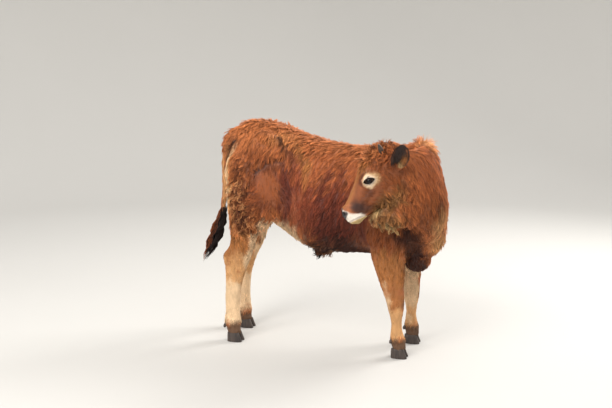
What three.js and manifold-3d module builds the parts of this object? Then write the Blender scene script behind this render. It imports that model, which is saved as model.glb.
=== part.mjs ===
// A beef calf about half a year old, life size, standing square on its four feet
// with its head turned back along its right side.
// Millimetres. +X points to the calf's chest, +Y to its left side, +Z up.
// Every outline is the outside of the winter coat. The body is modelled as lofts and
// masses, then parted into named pieces with thin gaps so that no two pieces overlap.
import * as THREE from "three";
import { mergeVertices } from "three/addons/utils/BufferGeometryUtils.js";
import Module from "manifold-3d";

const wasm = await Module();
wasm.setup();

// ---------------------------------------------------------------- driving sizes
const GAP = 0.4; // clearance between neighbouring pieces
const HIP_TOP = 1072; // top of the croup, coat included
const BACK_TOP = 970; // lowest stretch of the back
const BELLY = 438; // underside of the chest
const RIB_HALF = 212; // half width over the ribs
const STANCE = 114; // each foot's distance from the middle plane
const HIND_FOOT = -398; // middle of the right feet along X
const FORE_FOOT = 402;
const HOOF_HEIGHT = 44;
const HEAD_LENGTH = 334; // poll to nose
const HEAD_AT = [369, -315, 962]; // the poll
const HEAD_YAW = -157; // degrees: turned back along the right side
const HEAD_PITCH = 47.5; // nose down
const HEAD_ROLL = 6; // poll leaning away from the near shoulder
const EYE_RADIUS = 18;
const EAR_LENGTH = 145;
const HORN_LENGTH = 42;

const SIDES = { right: -1, left: 1 };

// ---------------------------------------------------------------- finishes
const COLOURS = {
  red_coat: [0x9c4f26, 0.9],
  neck_coat: [0xa05a30, 0.9],
  face_coat: [0x94582f, 0.88],
  leg_coat: [0xc39468, 0.88],
  tail_coat: [0x4a2c22, 0.9],
  ear_coat: [0x5a3a28, 0.9],
  eye: [0x1c1210, 0.12],
  horn: [0x57504a, 0.55],
  hoof: [0x3d3432, 0.6],
};

function finish(name) {
  const [color, roughness] = COLOURS[name];
  return new THREE.MeshStandardMaterial({ color, roughness, metalness: 0 });
}

// ---------------------------------------------------------------- lofting
// A station is { at: [x, y, z], up, down, side, taper, square }: the middle of a section, how far
// it reaches up and down from there and to each side, how much wider its top is than its
// middle, and the exponent of its superellipse.
const STATION_DEFAULTS = { taper: 0, square: 2, cup: 0 };

function ovalPoint(angle, s) {
  const power = 2 / s.square;
  const c = Math.cos(angle);
  const h = Math.sin(angle);
  const width = s.side * (1 + s.taper * h);
  const reach = h > 0 ? s.up : s.down;
  return [
    width * Math.sign(c) * Math.abs(c) ** power,
    reach * Math.sign(h) * Math.abs(h) ** power,
  ];
}

// A thin leaf bent into a trough: the edges rise by the station's cup.
function leafPoint(angle, s) {
  const c = Math.cos(angle);
  return [s.side * c, s.cup * c * c + s.up * Math.sin(angle)];
}

function smoothStations(stations, rows) {
  const curve = (pick) => new THREE.CatmullRomCurve3(stations.map(pick), false, "centripetal");
  const full = stations.map((s) => ({ ...STATION_DEFAULTS, ...s }));
  const even = (pick) =>
    new THREE.CatmullRomCurve3(full.map(pick), false, "catmullrom", 0.5);
  const places = curve((s) => new THREE.Vector3(...s.at));
  const sizes = even((s) => new THREE.Vector3(s.up, s.down ?? s.up, s.side));
  const shapes = even((s) => new THREE.Vector3(s.taper, s.square, s.cup));
  return Array.from({ length: rows }, (_, i) => {
    const t = i / (rows - 1);
    const size = sizes.getPoint(t);
    const shape = shapes.getPoint(t);
    return {
      at: places.getPoint(t),
      ahead: places.getTangent(t),
      up: Math.max(size.x, 0.5),
      down: Math.max(size.y, 0.5),
      side: Math.max(size.z, 0.5),
      taper: shape.x,
      square: shape.y,
      cup: shape.z,
    };
  });
}

// Carries a section along the stations on the grid of a sphere, whose poles close the ends.
// upward is the direction that "up" means; a level loft keeps its sections in that direction,
// and the others stand square to their path. grow fattens the whole loft.
function loft(stations, options) {
  const { around, rows, upward, level = true, point = ovalPoint, grow = 0 } = options;
  const sections = smoothStations(stations, rows);
  const grid = new THREE.SphereGeometry(1, around, rows + 1);
  const position = grid.attributes.position;
  const reference = new THREE.Vector3(...upward);
  const first = sections[0];
  const last = sections[rows - 1];
  const place = new THREE.Vector3();
  for (let row = 0; row <= rows + 1; row++) {
    const s = sections[Math.min(Math.max(row - 1, 0), rows - 1)];
    const across = reference.clone().cross(s.ahead).normalize();
    const up = level ? reference : s.ahead.clone().cross(across).normalize();
    const isPole = row === 0 || row === rows + 1;
    const endward = s === first ? -grow : s === last ? grow : 0;
    const big = { ...s, up: s.up + grow, down: s.down + grow, side: s.side + grow };
    for (let i = 0; i <= around; i++) {
      const [a, b] = isPole ? [0, 0] : point((-2 * Math.PI * i) / around, big);
      place.copy(s.at).addScaledVector(s.ahead, endward);
      place.addScaledVector(across, a).addScaledVector(up, b);
      position.setXYZ(row * (around + 1) + i, place.x, place.y, place.z);
    }
  }
  return solid(grid);
}

function solid(geometry) {
  const bare = geometry.clone();
  bare.deleteAttribute("normal");
  bare.deleteAttribute("uv");
  const merged = mergeVertices(bare, 1e-3);
  const vertProperties = new Float32Array(merged.attributes.position.array);
  const triVerts = new Uint32Array(merged.index.array);
  return new wasm.Manifold(new wasm.Mesh({ numProp: 3, vertProperties, triVerts }));
}

// An egg-shaped mass: a sphere stretched to three radii, turned about Y by tilt degrees.
function mass({ at, reach, tilt = 0 }, grow = 0, detail = 12) {
  const [rx, ry, rz] = reach.map((r) => r + grow);
  const ball = new THREE.SphereGeometry(1, detail, Math.round(detail * 0.6));
  ball.scale(rx, ry, rz).rotateY(THREE.MathUtils.degToRad(tilt)).translate(...at);
  return solid(ball);
}

function joined(solids) {
  return solids.reduce((whole, next) => whole.add(next));
}

function without(whole, cutters) {
  return cutters.reduce((rest, cutter) => rest.subtract(cutter), whole);
}

function moved(shape, matrix) {
  return shape.transform(matrix.elements);
}

// ---------------------------------------------------------------- trunk
const crown = (x, top, bottom, side, extra = {}) => {
  const middle = bottom + (top - bottom) * (extra.waist ?? 0.42);
  return { at: [x, 0, middle], up: top - middle, down: middle - bottom, side, ...extra };
};

const TRUNK = [
  crown(-472, 905, 810, 44),
  crown(-455, 962, 750, 96),
  crown(-418, 1034, 695, 138),
  crown(-345, HIP_TOP, 640, 170),
  crown(-250, HIP_TOP - 2, 578, 184, { taper: 0.04, square: 2.3 }),
  crown(-165, 1046, 524, 180, { taper: 0.1, square: 2.4 }),
  crown(-90, 1018, 474, 186, { taper: 0.04, square: 2.2 }),
  crown(10, 988, 440, RIB_HALF - 6),
  crown(110, BACK_TOP, BELLY, RIB_HALF),
  crown(210, BACK_TOP - 8, BELLY, RIB_HALF - 8),
  crown(300, BACK_TOP, 430, 188),
  crown(380, BACK_TOP, 408, 168),
  crown(450, 940, 392, 142),
  crown(510, 872, 404, 112),
  crown(558, 790, 460, 76),
  crown(590, 716, 548, 36),
];
const BRISKET = { at: [460, 0, 446], reach: [76, 80, 74] };
const NAVEL = { at: [16, 0, 454], reach: [62, 30, 44] };

function trunkSolid(grow = 0) {
  const barrel = loft(TRUNK, { around: 24, rows: 18, upward: [0, 0, 1], grow });
  return joined([barrel, mass(BRISKET, grow), mass(NAVEL, grow, 10)]);
}

// ---------------------------------------------------------------- neck
// The neck leaves the shoulders forward, swings to the right and comes back to the head.
const NECK = [
  { at: [290, 0, 760], up: 195, down: 210, side: 140 },
  { at: [400, -12, 748], up: 222, down: 252, side: 136, taper: -0.1 },
  { at: [482, -72, 742], up: 246, down: 244, side: 120, taper: -0.42 },
  { at: [516, -165, 760], up: 232, down: 208, side: 104, taper: -0.42 },
  { at: [494, -250, 788], up: 186, down: 172, side: 92, taper: -0.24 },
  { at: [438, -302, 812], up: 150, down: 186, side: 84, taper: -0.12 },
  { at: [362, -320, 812], up: 112, down: 176, side: 66 },
];
const THROAT = { at: [402, -330, 678], reach: [88, 62, 59], tilt: 4 };

function neckSolid(grow = 0) {
  const bend = loft(NECK, { around: 20, rows: 11, upward: [0, 0, 1], grow });
  return bend.add(mass(THROAT, grow, 12));
}

// ---------------------------------------------------------------- head
// The head is drawn in its own frame: X from the poll to the nose, Y left, Z out of the brow.
const face = (x, top, bottom, side, extra = {}) => {
  const middle = bottom + (top - bottom) * (extra.waist ?? 0.55);
  return { at: [x, 0, middle], up: top - middle, down: middle - bottom, side, ...extra };
};

const HEAD = [
  face(-34, 26, -128, 46),
  face(-4, 50, -158, 64),
  face(30, 54, -180, 77, { square: 2.2 }),
  face(75, 46, -188, 85, { taper: 0.06, square: 2.3 }),
  face(120, 35, -184, 87, { taper: 0.12, square: 2.3 }),
  face(155, 19, -174, 82, { taper: 0.16, square: 2.3 }),
  face(190, 3, -160, 70, { taper: 0.1, square: 2.3 }),
  face(225, -11, -147, 58, { taper: 0.04, square: 2.3 }),
  face(258, -24, -138, 50, { square: 2.3 }),
  face(290, -34, -134, 47, { square: 2.4 }),
  face(313, -43, -124, 43, { square: 2.4 }),
  face(HEAD_LENGTH - 8, -56, -104, 27, { square: 2.4 }),
];
const EYE_AT = [145, 68, -36];
const NOSTRIL_AT = [316, 31, -58];

const headFrame = new THREE.Matrix4().compose(
  new THREE.Vector3(...HEAD_AT),
  new THREE.Quaternion().setFromEuler(
    new THREE.Euler(
      THREE.MathUtils.degToRad(HEAD_ROLL),
      THREE.MathUtils.degToRad(HEAD_PITCH),
      THREE.MathUtils.degToRad(HEAD_YAW),
      "ZYX",
    ),
  ),
  new THREE.Vector3(1, 1, 1),
);

// Masses and openings of the left half; the right half mirrors them.
const FACE_MASSES = [
  { at: [EYE_AT[0] - 4, 60, EYE_AT[2] + 6], reach: [40, 26, 30], tilt: 20 },
  { at: [105, 46, -112], reach: [64, 32, 64], tilt: 25 },
  { at: [NOSTRIL_AT[0] - 22, 23, NOSTRIL_AT[2] - 6], reach: [28, 22, 30], tilt: 10 },
];
const FACE_OPENINGS = [
  { at: [EYE_AT[0], 90, EYE_AT[2]], reach: [22, 15, 12], tilt: -25 },
  { at: [NOSTRIL_AT[0], 37, NOSTRIL_AT[2]], reach: [12, 7, 15], tilt: 25 },
];
const MOUTH = { at: [300, 0, -106], reach: [50, 70, 3], tilt: -20 };

function bothSides(list, grow) {
  return list.flatMap((one) =>
    Object.values(SIDES).map((side) => {
      const [x, y, z] = one.at;
      return mass({ ...one, at: [x, side * y, z] }, grow, 9);
    }),
  );
}

function headMass(grow = 0) {
  const skull = loft(HEAD, { around: 20, rows: 14, upward: [0, 0, 1], grow });
  return joined([skull, ...bothSides(FACE_MASSES, grow)]);
}

function eyeSolid(side, grow = 0) {
  const ball = new THREE.SphereGeometry(EYE_RADIUS + grow, 12, 8);
  const [x, y, z] = EYE_AT;
  return solid(ball.translate(x, side * y, z));
}

const HORN_ROOT = [24, 54, 6];
const HORN_WAY = [-0.25, 0.6, 0.76];

function hornSolid(side, grow = 0) {
  const way = new THREE.Vector3(...HORN_WAY).normalize();
  const root = new THREE.Vector3(...HORN_ROOT);
  const at = (share) => {
    const p = root.clone().addScaledVector(way, share * HORN_LENGTH);
    return [p.x, side * p.y, p.z];
  };
  const radii = [13, 12.5, 10.5, 7, 2.5];
  const stations = radii.map((r, i) => {
    const share = -0.35 + (1.35 * i) / (radii.length - 1);
    return { at: at(share), up: r, down: r, side: r };
  });
  return loft(stations, { around: 8, rows: 7, upward: [1, 0, 0], level: false, grow });
}

const EAR_ROOT = [38, 74, -84];
const EAR_WAY = [-0.62, 0.62, 0.42];
const EAR_OPENING = [0.35, 0.85, -0.4];

// The ear's own frame: X along it, Z out of its hollow side.
function earFrame(side) {
  const along = new THREE.Vector3(...EAR_WAY).normalize();
  const out = new THREE.Vector3(...EAR_OPENING);
  out.addScaledVector(along, -out.dot(along)).normalize();
  const across = out.clone().cross(along);
  const frame = new THREE.Matrix4().makeBasis(along, across, out).setPosition(...EAR_ROOT);
  const mirror = new THREE.Matrix4().makeScale(1, side, 1);
  return mirror.multiply(frame);
}

function earSolid(side) {
  const share = (s) => s * EAR_LENGTH;
  const stations = [
    { at: [share(-0.08), 0, 0], up: 13, side: 17, cup: 6 },
    { at: [share(0.1), 0, 0], up: 11, side: 24, cup: 16 },
    { at: [share(0.3), 0, 0], up: 8, side: 34, cup: 22 },
    { at: [share(0.52), 0, 0], up: 6.5, side: 38, cup: 20 },
    { at: [share(0.74), 0, 0], up: 5.5, side: 31, cup: 13 },
    { at: [share(0.9), 0, 0], up: 5, side: 18, cup: 6 },
    { at: [share(1), 0, 0], up: 3.5, side: 6, cup: 2 },
  ];
  const leaf = loft(stations, { around: 14, rows: 9, upward: [0, 0, 1], point: leafPoint });
  return moved(leaf, earFrame(side));
}

// ---------------------------------------------------------------- legs
// A leg station: height, the X of its back and front, its half width and its distance
// from the middle plane.
const HIND_LEG = [
  [905, -408, -245, 42, 96],
  [850, -434, -195, 74, 108],
  [770, -440, -165, 88, 114],
  [690, -436, -156, 90, 116],
  [610, -424, -196, 76, 120],
  [530, -412, -262, 52, 124],
  [470, -420, -284, 44, 124],
  [422, -452, -300, 39, 122],
  [365, -446, -324, 35, 119],
  [300, -445, -348, 32, 116],
  [215, -448, -362, 31, STANCE],
  [140, -447, -366, 32, STANCE],
  [98, -452, -362, 37, STANCE],
  [68, -442, -366, 34, STANCE],
  [HOOF_HEIGHT + GAP, -438, -362, 36, STANCE],
];

const FORE_LEG = [
  [850, 262, 410, 42, 118],
  [780, 228, 448, 62, 128],
  [700, 232, 474, 70, 134],
  [620, 244, 470, 70, 136],
  [540, 256, 448, 64, 134],
  [470, 266, 436, 56, 128],
  [405, 285, 430, 47, 122],
  [330, 311, 428, 39, 118],
  [265, 335, 430, 38, STANCE],
  [225, 346, 428, 36, STANCE],
  [165, 362, 420, 29, STANCE],
  [120, 362, 423, 30, STANCE],
  [85, 360, 436, 36, STANCE],
  [62, 366, 438, 34, STANCE],
  [HOOF_HEIGHT + GAP, 366, 444, 36, STANCE],
];

// How far each leg stands ahead of its table at the ground and at the hock or elbow.
const SET = {
  hind_right: { foot: 0, joint: 0 },
  hind_left: { foot: -30, joint: -46 },
  fore_right: { foot: 0, joint: 0 },
  fore_left: { foot: 20, joint: 38 },
};
const JOINT_HEIGHT = 380;

function legDrift({ foot, joint }, z, top) {
  if (z > JOINT_HEIGHT) return (joint * (top - z)) / (top - JOINT_HEIGHT);
  return foot + ((joint - foot) * z) / JOINT_HEIGHT;
}

function legSolid(table, side, set, grow = 0) {
  const stations = table.map(([z, back, front, half, y]) => {
    const x = (front + back) / 2 + legDrift(set, z, table[0][0]);
    const reach = (front - back) / 2;
    return { at: [x, side * y, z], up: reach, down: reach, side: half };
  });
  return loft(stations, { around: 12, rows: 17, upward: [1, 0, 0], grow });
}

// One claw of a hoof: a flat sole, a sloping toe and a low heel.
const CLAW = { half: 15.5, toe: 42, heel: 32, topToe: 26, topHeel: 31, apart: 17 };

function clawSolid(x, y, inward) {
  const middle = y + inward * CLAW.apart;
  const ring = (z, toe, heel, half, square) => ({
    at: [x, middle, z],
    up: toe,
    down: heel,
    side: half,
    square,
  });
  const rings = [
    ring(HOOF_HEIGHT, CLAW.topToe, CLAW.topHeel, CLAW.half - 2, 2.2),
    ring(HOOF_HEIGHT * 0.5, (CLAW.topToe + CLAW.toe) / 2, CLAW.heel, CLAW.half, 2.3),
    ring(0, CLAW.toe, CLAW.heel, CLAW.half, 2.4),
  ];
  return loft(rings, { around: 12, rows: 3, upward: [1, 0, 0] });
}

const DEWCLAW = { reach: [8, 8, 13], height: 76, apart: 17, inset: 7 };

function dewclawSolid(back, y, inward, grow = 0) {
  const { reach, height, apart, inset } = DEWCLAW;
  return mass({ at: [back + inset, y + inward * apart, height], reach, tilt: 20 }, grow, 8);
}

// ---------------------------------------------------------------- tail
const round = (x, z, across, wide = across) => ({
  at: [x, 0, z],
  up: across,
  down: across,
  side: wide,
});
const TAIL_STEM = [
  round(-386, 1010, 40),
  round(-440, 984, 42),
  round(-474, 936, 32),
  round(-485, 880, 22, 24),
  round(-490, 820, 16, 19),
  round(-493, 740, 14, 17),
  round(-499, 665, 14, 17),
  round(-496, 625, 15, 17),
];
const TAIL_SWITCH = [
  round(-496, 624, 15, 17),
  round(-508, 588, 27, 23),
  round(-528, 528, 35, 28),
  round(-553, 465, 35, 27),
  round(-580, 405, 25, 20),
  round(-612, 344, 5),
];

function tailSolid(stations, grow = 0) {
  return loft(stations, { around: 12, rows: 9, upward: [1, 0, 0], level: false, grow });
}

// ---------------------------------------------------------------- parting
const calf = new THREE.Group();

function addPiece(name, shape, finishName) {
  const mesh = shape.getMesh();
  const geometry = new THREE.BufferGeometry();
  geometry.setAttribute("position", new THREE.BufferAttribute(mesh.vertProperties, 3));
  geometry.setIndex(new THREE.BufferAttribute(mesh.triVerts, 1));
  const piece = new THREE.Mesh(geometry, finish(finishName));
  piece.name = name;
  calf.add(piece);
}

const trunkGrown = trunkSolid(GAP);
const trunkCutters = [];
const neckCutters = [trunkGrown];

for (const [sideName, side] of Object.entries(SIDES)) {
  for (const [place, table, foot] of [
    ["hind", HIND_LEG, HIND_FOOT],
    ["fore", FORE_LEG, FORE_FOOT],
  ]) {
    const set = SET[`${place}_${sideName}`];
    const y = side * STANCE;
    const [, fetlockBack] = table.at(-3);
    let leg = legSolid(table, side, set);
    for (const [clawName, inward] of Object.entries({ inner: -side, outer: side })) {
      const end = `${place}_${sideName}_${clawName}`;
      const back = fetlockBack + set.foot;
      leg = leg.subtract(dewclawSolid(back, y, inward, GAP));
      addPiece(`dewclaw_${end}`, dewclawSolid(back, y, inward), "hoof");
      addPiece(`hoof_${end}`, clawSolid(foot + set.foot, y, inward), "hoof");
    }
    const socket = legSolid(table, side, set, GAP);
    trunkCutters.push(socket);
    neckCutters.push(socket);
    addPiece(`leg_${place}_${sideName}`, leg, "leg_coat");
  }
}

trunkCutters.push(tailSolid(TAIL_STEM, GAP), tailSolid(TAIL_SWITCH, GAP));
addPiece("trunk", without(trunkSolid(), trunkCutters), "red_coat");
addPiece("tail_stem", tailSolid(TAIL_STEM).subtract(tailSolid(TAIL_SWITCH, GAP)), "red_coat");
addPiece("tail_switch", tailSolid(TAIL_SWITCH), "tail_coat");

// The head is opened for its eyes, horns, nostrils and mouth in its own frame, then set
// on the neck.
let head = without(headMass(), [...bothSides(FACE_OPENINGS), mass(MOUTH)]);
for (const [sideName, side] of Object.entries(SIDES)) {
  head = head.subtract(eyeSolid(side, GAP)).subtract(hornSolid(side, GAP));
  addPiece(`eye_${sideName}`, moved(eyeSolid(side), headFrame), "eye");
  addPiece(`horn_${sideName}`, moved(hornSolid(side), headFrame), "horn");
}
const neckGrown = neckSolid(GAP);
addPiece("neck", without(neckSolid(), neckCutters), "neck_coat");
addPiece("head", moved(head, headFrame).subtract(neckGrown), "face_coat");
const earCutters = [moved(headMass(GAP), headFrame), neckGrown];
for (const [sideName, side] of Object.entries(SIDES)) {
  const ear = without(moved(earSolid(side), headFrame), earCutters);
  addPiece(`ear_${sideName}`, ear, "ear_coat");
}

// The origin is on the floor, under the middle of the whole calf's box.
const { min, max } = new THREE.Box3().setFromObject(calf);
calf.position.set(-(min.x + max.x) / 2, -(min.y + max.y) / 2, -min.z);

export default calf;
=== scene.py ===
# %% [markdown]
# # A mountain beef calf, life size
# A calf about half a year old stands square and looks back along its right side. The
# imported solids give its outline, out to the tips of the winter coat. Here it gets what
# an animal has: one skin with no seams, moist eyes with lids, small horn buds, cloven
# hooves, and a coat of many thousands of little locks that follow the lie of the hair.
#
# Everything starts from the frame. It is loaded once and never moved.

import math

import bpy
import numpy as np
from mathutils import Euler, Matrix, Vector
from mathutils.bvhtree import BVHTree
from mathutils.kdtree import KDTree


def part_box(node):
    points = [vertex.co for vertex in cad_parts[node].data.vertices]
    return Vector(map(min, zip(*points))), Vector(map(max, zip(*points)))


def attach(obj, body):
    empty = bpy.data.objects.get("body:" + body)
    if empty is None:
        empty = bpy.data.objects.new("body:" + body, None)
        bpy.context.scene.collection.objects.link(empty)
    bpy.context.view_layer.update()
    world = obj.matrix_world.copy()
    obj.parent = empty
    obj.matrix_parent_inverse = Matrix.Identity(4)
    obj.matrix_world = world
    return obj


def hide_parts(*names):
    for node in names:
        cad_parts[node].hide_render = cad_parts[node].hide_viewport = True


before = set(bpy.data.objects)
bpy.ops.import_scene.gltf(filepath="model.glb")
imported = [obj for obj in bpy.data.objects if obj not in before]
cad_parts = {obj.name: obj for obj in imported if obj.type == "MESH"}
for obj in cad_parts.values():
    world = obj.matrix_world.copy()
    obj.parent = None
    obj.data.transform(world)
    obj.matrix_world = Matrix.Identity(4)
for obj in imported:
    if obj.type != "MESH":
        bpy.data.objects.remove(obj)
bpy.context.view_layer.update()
chance = np.random.default_rng(20)

# %% [markdown]
# ## The calf's own frame
# An animal is easiest to draw in its own millimetres: X towards the chest, Y to its
# left, Z up, with the zero on the floor between the four feet. The fore hooves say
# where that zero lies in the frame. The head has a frame of its own as well, from the
# poll to the nose, because it is turned: the two eyes give its place and three angles
# its turn. So it is modelled as if it looked straight ahead, both halves from one table.

# %% The calf's frame and the head's
MM = 0.001
FORE_FOOT = 402  # the right fore hoof's middle along X
HOOF_HEEL = 32  # and its heel behind that
HEAD_TURN = Euler([math.radians(a) for a in (6, 47.5, -157)])  # roll, nose down, turned back
EYE = np.array([145, 68, -36])  # the left eye's centre, in the head's frame

fore_claws = [np.array(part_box(name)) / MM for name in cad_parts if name.startswith("hoof_fore")]
right_claw = np.array(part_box("hoof_fore_right_inner")) / MM
middle = np.mean([claw[:, 1].mean() for claw in fore_claws])
origin = np.array([right_claw[0][0] + HOOF_HEEL - FORE_FOOT, middle, 0])
eyes_middle = np.mean([np.array(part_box(name)) for name in ("eye_left", "eye_right")], (0, 1)) / MM
head_axes = np.array(HEAD_TURN.to_matrix())
head_at = eyes_middle - origin - head_axes @ (EYE * [1, 0, 1])


def placed(points):
    """Calf millimetres to frame metres: add the origin, then scale."""
    return (np.asarray(points) + origin) * MM


def from_head(points):
    """Head millimetres to calf millimetres: turn by the head's axes, then add its place."""
    return np.asarray(points) @ head_axes.T + head_at


def to_head(points):
    """Calf millimetres to head millimetres, the way back."""
    return (np.asarray(points) - head_at) @ head_axes


print("the calf's zero is at", placed([0, 0, 0]).round(4), "and its poll at", head_at.round(1))

# %% [markdown]
# ## Camera
# A person standing a little ahead of the shoulder, some three and a half metres off, at
# chest height: that is how one sees a calf across a field. A lens of 46 mm keeps the
# legs straight. The camera comes first, so that every later step can be looked at.

# %% Camera
CAMERA_AT = (1.0213, -3.3663, 1.2)
CAMERA_AZIMUTH, CAMERA_DROP = math.radians(17.5), math.radians(8.315)
CAMERA_LENS, SENSOR_WIDTH = 45.9, 36  # mm

camera = bpy.data.objects.new("camera", bpy.data.cameras.new("camera"))
camera.data.lens, camera.data.sensor_width = CAMERA_LENS, SENSOR_WIDTH
camera.location = CAMERA_AT
camera.rotation_euler = (math.pi / 2 - CAMERA_DROP, 0, CAMERA_AZIMUTH)
bpy.context.scene.collection.objects.link(camera)
bpy.context.scene.camera = camera
print("camera", CAMERA_AT, "lens", camera.data.lens)

# %% [markdown]
# ## Surfaces as arrays
# Limbs, trunk, neck and muzzle are all the same idea: an oval section carried along a
# line, growing and shrinking as it goes. One could model each from a cube with
# subdivision, but a table of sections is quicker to read and to correct, and numpy
# works out the whole surface at once. First a table becomes a smooth curve.


# %% Curves through tables
def through(table, rows):
    """Even steps along a Catmull-Rom curve through the table's rows. Between rows b and c
    it is (2b + (c-a)t + (2a-5b+4c-d)t^2 + (3b-a-3c+d)t^3) / 2, with a before and d after."""
    table = np.asarray(table, float)
    padded = np.vstack([2 * table[0] - table[1], table, 2 * table[-1] - table[-2]])
    steps = np.linspace(0, len(table) - 1, rows)
    i = np.minimum(steps.astype(int), len(table) - 2)
    t = (steps - i)[:, None]
    a, b, c, d = (padded[i + k] for k in range(4))
    return (2 * b + (c - a) * t + (2 * a - 5 * b + 4 * c - d) * t**2 + (3 * b - a - 3 * c + d) * t**3) / 2


print("a curve through 0, 1 and 4 in five steps:", through([[0], [1], [4]], 5).ravel())

# %% [markdown]
# A loft is one closed net of triangles over rings of points. Its section is a squared
# oval: an ellipse where the square is 2, and a rounded box where it is more, as a trunk
# or a muzzle is. The signed volume of a net tells whether it is inside out.


# %% Lofts
def tube_faces(rows, around):
    """Triangles of rows rings of points, with one more point that closes each end."""
    i, j = np.arange(rows - 1)[:, None] * around, np.arange(around)
    k = (j + 1) % around
    a, b, c, d = i + j, i + k, i + around + k, i + around + j
    first, last = np.full(around, rows * around), np.full(around, rows * around + 1)
    end = (rows - 1) * around
    sides = [np.stack(three, -1).reshape(-1, 3) for three in ((a, b, c), (a, c, d))]
    ends = [np.stack([first, k, j], -1), np.stack([last, end + j, end + k], -1)]
    return np.concatenate(sides + ends)


def outward(points, faces):
    """Turns the triangles round if the volume, a sum of a . (b x c) / 6, is negative."""
    a, b, c = (points[faces[:, k]] for k in range(3))
    inside_out = np.einsum("ij,ij->", a, np.cross(b, c)) < 0
    return points, (faces[:, ::-1] if inside_out else faces)


def unit(vectors):
    """Each vector over its own length, so that it is 1 long."""
    return vectors / np.maximum(np.linalg.norm(vectors, axis=-1, keepdims=True), 1e-9)


def loft(path, up, down, half, upward, level=True, taper=0, square=2, around=48):
    """A section carried along path. At angle a it lies at across * half * (1 + taper sin a)
    * |cos a|^(2/square) + upward * reach * |sin a|^(2/square), where reach is up or down."""
    path, upward = np.asarray(path, float), np.asarray(upward, float)
    ahead = unit(np.gradient(path, axis=0))
    across = unit(np.cross(upward, ahead))
    lift = np.broadcast_to(upward, path.shape) if level else np.cross(ahead, across)
    angle = np.linspace(0, 2 * np.pi, around, endpoint=False)
    c, s = np.cos(angle), np.sin(angle)
    column = lambda value: np.broadcast_to(value, len(path)).reshape(-1, 1)
    power = 2 / column(square)
    wide = column(half) * (1 + column(taper) * s) * np.sign(c) * np.abs(c) ** power
    high = np.where(s > 0, column(up), column(down)) * np.sign(s) * np.abs(s) ** power
    rings = path[:, None] + across[:, None] * wide[..., None] + lift[:, None] * high[..., None]
    points = np.concatenate([rings.reshape(-1, 3), path[:1], path[-1:]])
    return outward(points, tube_faces(len(path), around))


print("a loft of 10 rings has", len(tube_faces(10, 48)), "triangles")

# %% [markdown]
# Round muscles are eggs: a ball stretched along three axes and tilted. The calf has two
# sides, so each is made once and mirrored, with its triangles turned to face out again.


# %% Eggs
def egg(at, reach, tilt=0, around=32):
    """A sphere stretched to three radii and turned about Y by tilt degrees."""
    polar = np.linspace(0, np.pi, around // 2 + 2)[1:-1, None]
    angle = np.linspace(0, 2 * np.pi, around, endpoint=False)
    ring = [np.sin(polar) * np.cos(angle), np.sin(polar) * np.sin(angle), np.cos(polar) + 0 * angle]
    ball = np.concatenate([np.stack(ring, -1).reshape(-1, 3), [[0, 0, 1], [0, 0, -1]]])
    t = math.radians(tilt)
    turn = np.array([[math.cos(t), 0, math.sin(t)], [0, 1, 0], [-math.sin(t), 0, math.cos(t)]])
    return outward((ball * reach) @ turn.T + at, tube_faces(len(polar), around))


def mirrored(part):
    """The same closed surface on the other side of the middle plane."""
    points, faces = part
    return points * [1, -1, 1], faces[:, ::-1]


ball = egg((0, 0, 0), (10, 10, 10))
print("an egg has", len(ball[1]), "triangles")

# %% [markdown]
# ## From arrays to Blender and back
# Arrays go into a mesh with `foreach_set`, which copies them whole. The parts of a body
# are melted into one surface with a voxel remesh: it fills the union of all the shapes
# with small cubes and wraps one even net round them, far sooner than a hand could.


# %% Meshes
def mesh_from(name, points, faces):
    """A mesh object from frame metres and triangles."""
    mesh = bpy.data.meshes.new(name)
    mesh.vertices.add(len(points))
    mesh.vertices.foreach_set("co", np.asarray(points, np.float32).ravel())
    mesh.loops.add(faces.size)
    mesh.loops.foreach_set("vertex_index", np.asarray(faces, np.int32).ravel())
    mesh.polygons.add(len(faces))
    mesh.polygons.foreach_set("loop_start", np.arange(0, faces.size, 3, dtype=np.int32))
    mesh.update(calc_edges=True)
    mesh.shade_smooth()
    made = bpy.data.objects.new(name, mesh)
    bpy.context.scene.collection.objects.link(made)
    return made


def joined(parts):
    """Several (points, faces) as one."""
    starts = np.cumsum([0] + [len(points) for points, _ in parts[:-1]])
    faces = [f + start for (_, f), start in zip(parts, starts)]
    return np.concatenate([points for points, _ in parts]), np.concatenate(faces)


def arrays_of(thing):
    """Points and triangles of an object, its modifiers included; the object is removed."""
    shown = thing.evaluated_get(bpy.context.evaluated_depsgraph_get())
    mesh = bpy.data.meshes.new_from_object(shown)
    mesh.calc_loop_triangles()
    points = np.empty(len(mesh.vertices) * 3)
    mesh.vertices.foreach_get("co", points)
    faces = np.empty(len(mesh.loop_triangles) * 3, np.int32)
    mesh.loop_triangles.foreach_get("vertices", faces)
    bpy.data.objects.remove(thing)
    return points.reshape(-1, 3), faces.reshape(-1, 3)


def melted(parts, voxel):
    """One even surface round all the parts, with cells voxel millimetres across."""
    thing = mesh_from("melting", *joined(parts))
    remesh = thing.modifiers.new("melt", "REMESH")
    remesh.mode, remesh.voxel_size = "VOXEL", voxel
    return arrays_of(thing)


def united(first, second):
    """The union of two closed surfaces."""
    a, b = mesh_from("first", *first), mesh_from("second", *second)
    union = a.modifiers.new("union", "BOOLEAN")
    union.operation, union.solver, union.object = "UNION", "MANIFOLD", b
    whole = arrays_of(a)
    bpy.data.objects.remove(b)
    return whole


print("two eggs joined have", len(joined([ball, ball])[1]), "triangles")

# %% [markdown]
# The remesh leaves steps, which are smoothed away: each point moves towards the middle of
# its neighbours and almost as far back, so that the form doesn't shrink. Soft masks come
# from two curves: a step with rounded ends, and a bell. Adding up over the points with
# `bincount` spares a loop over them.

# %% Smoothing, normals and soft masks
PULL, PUSH = 0.6, -0.62  # shares of the way to the neighbours' mean, and back from it


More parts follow.
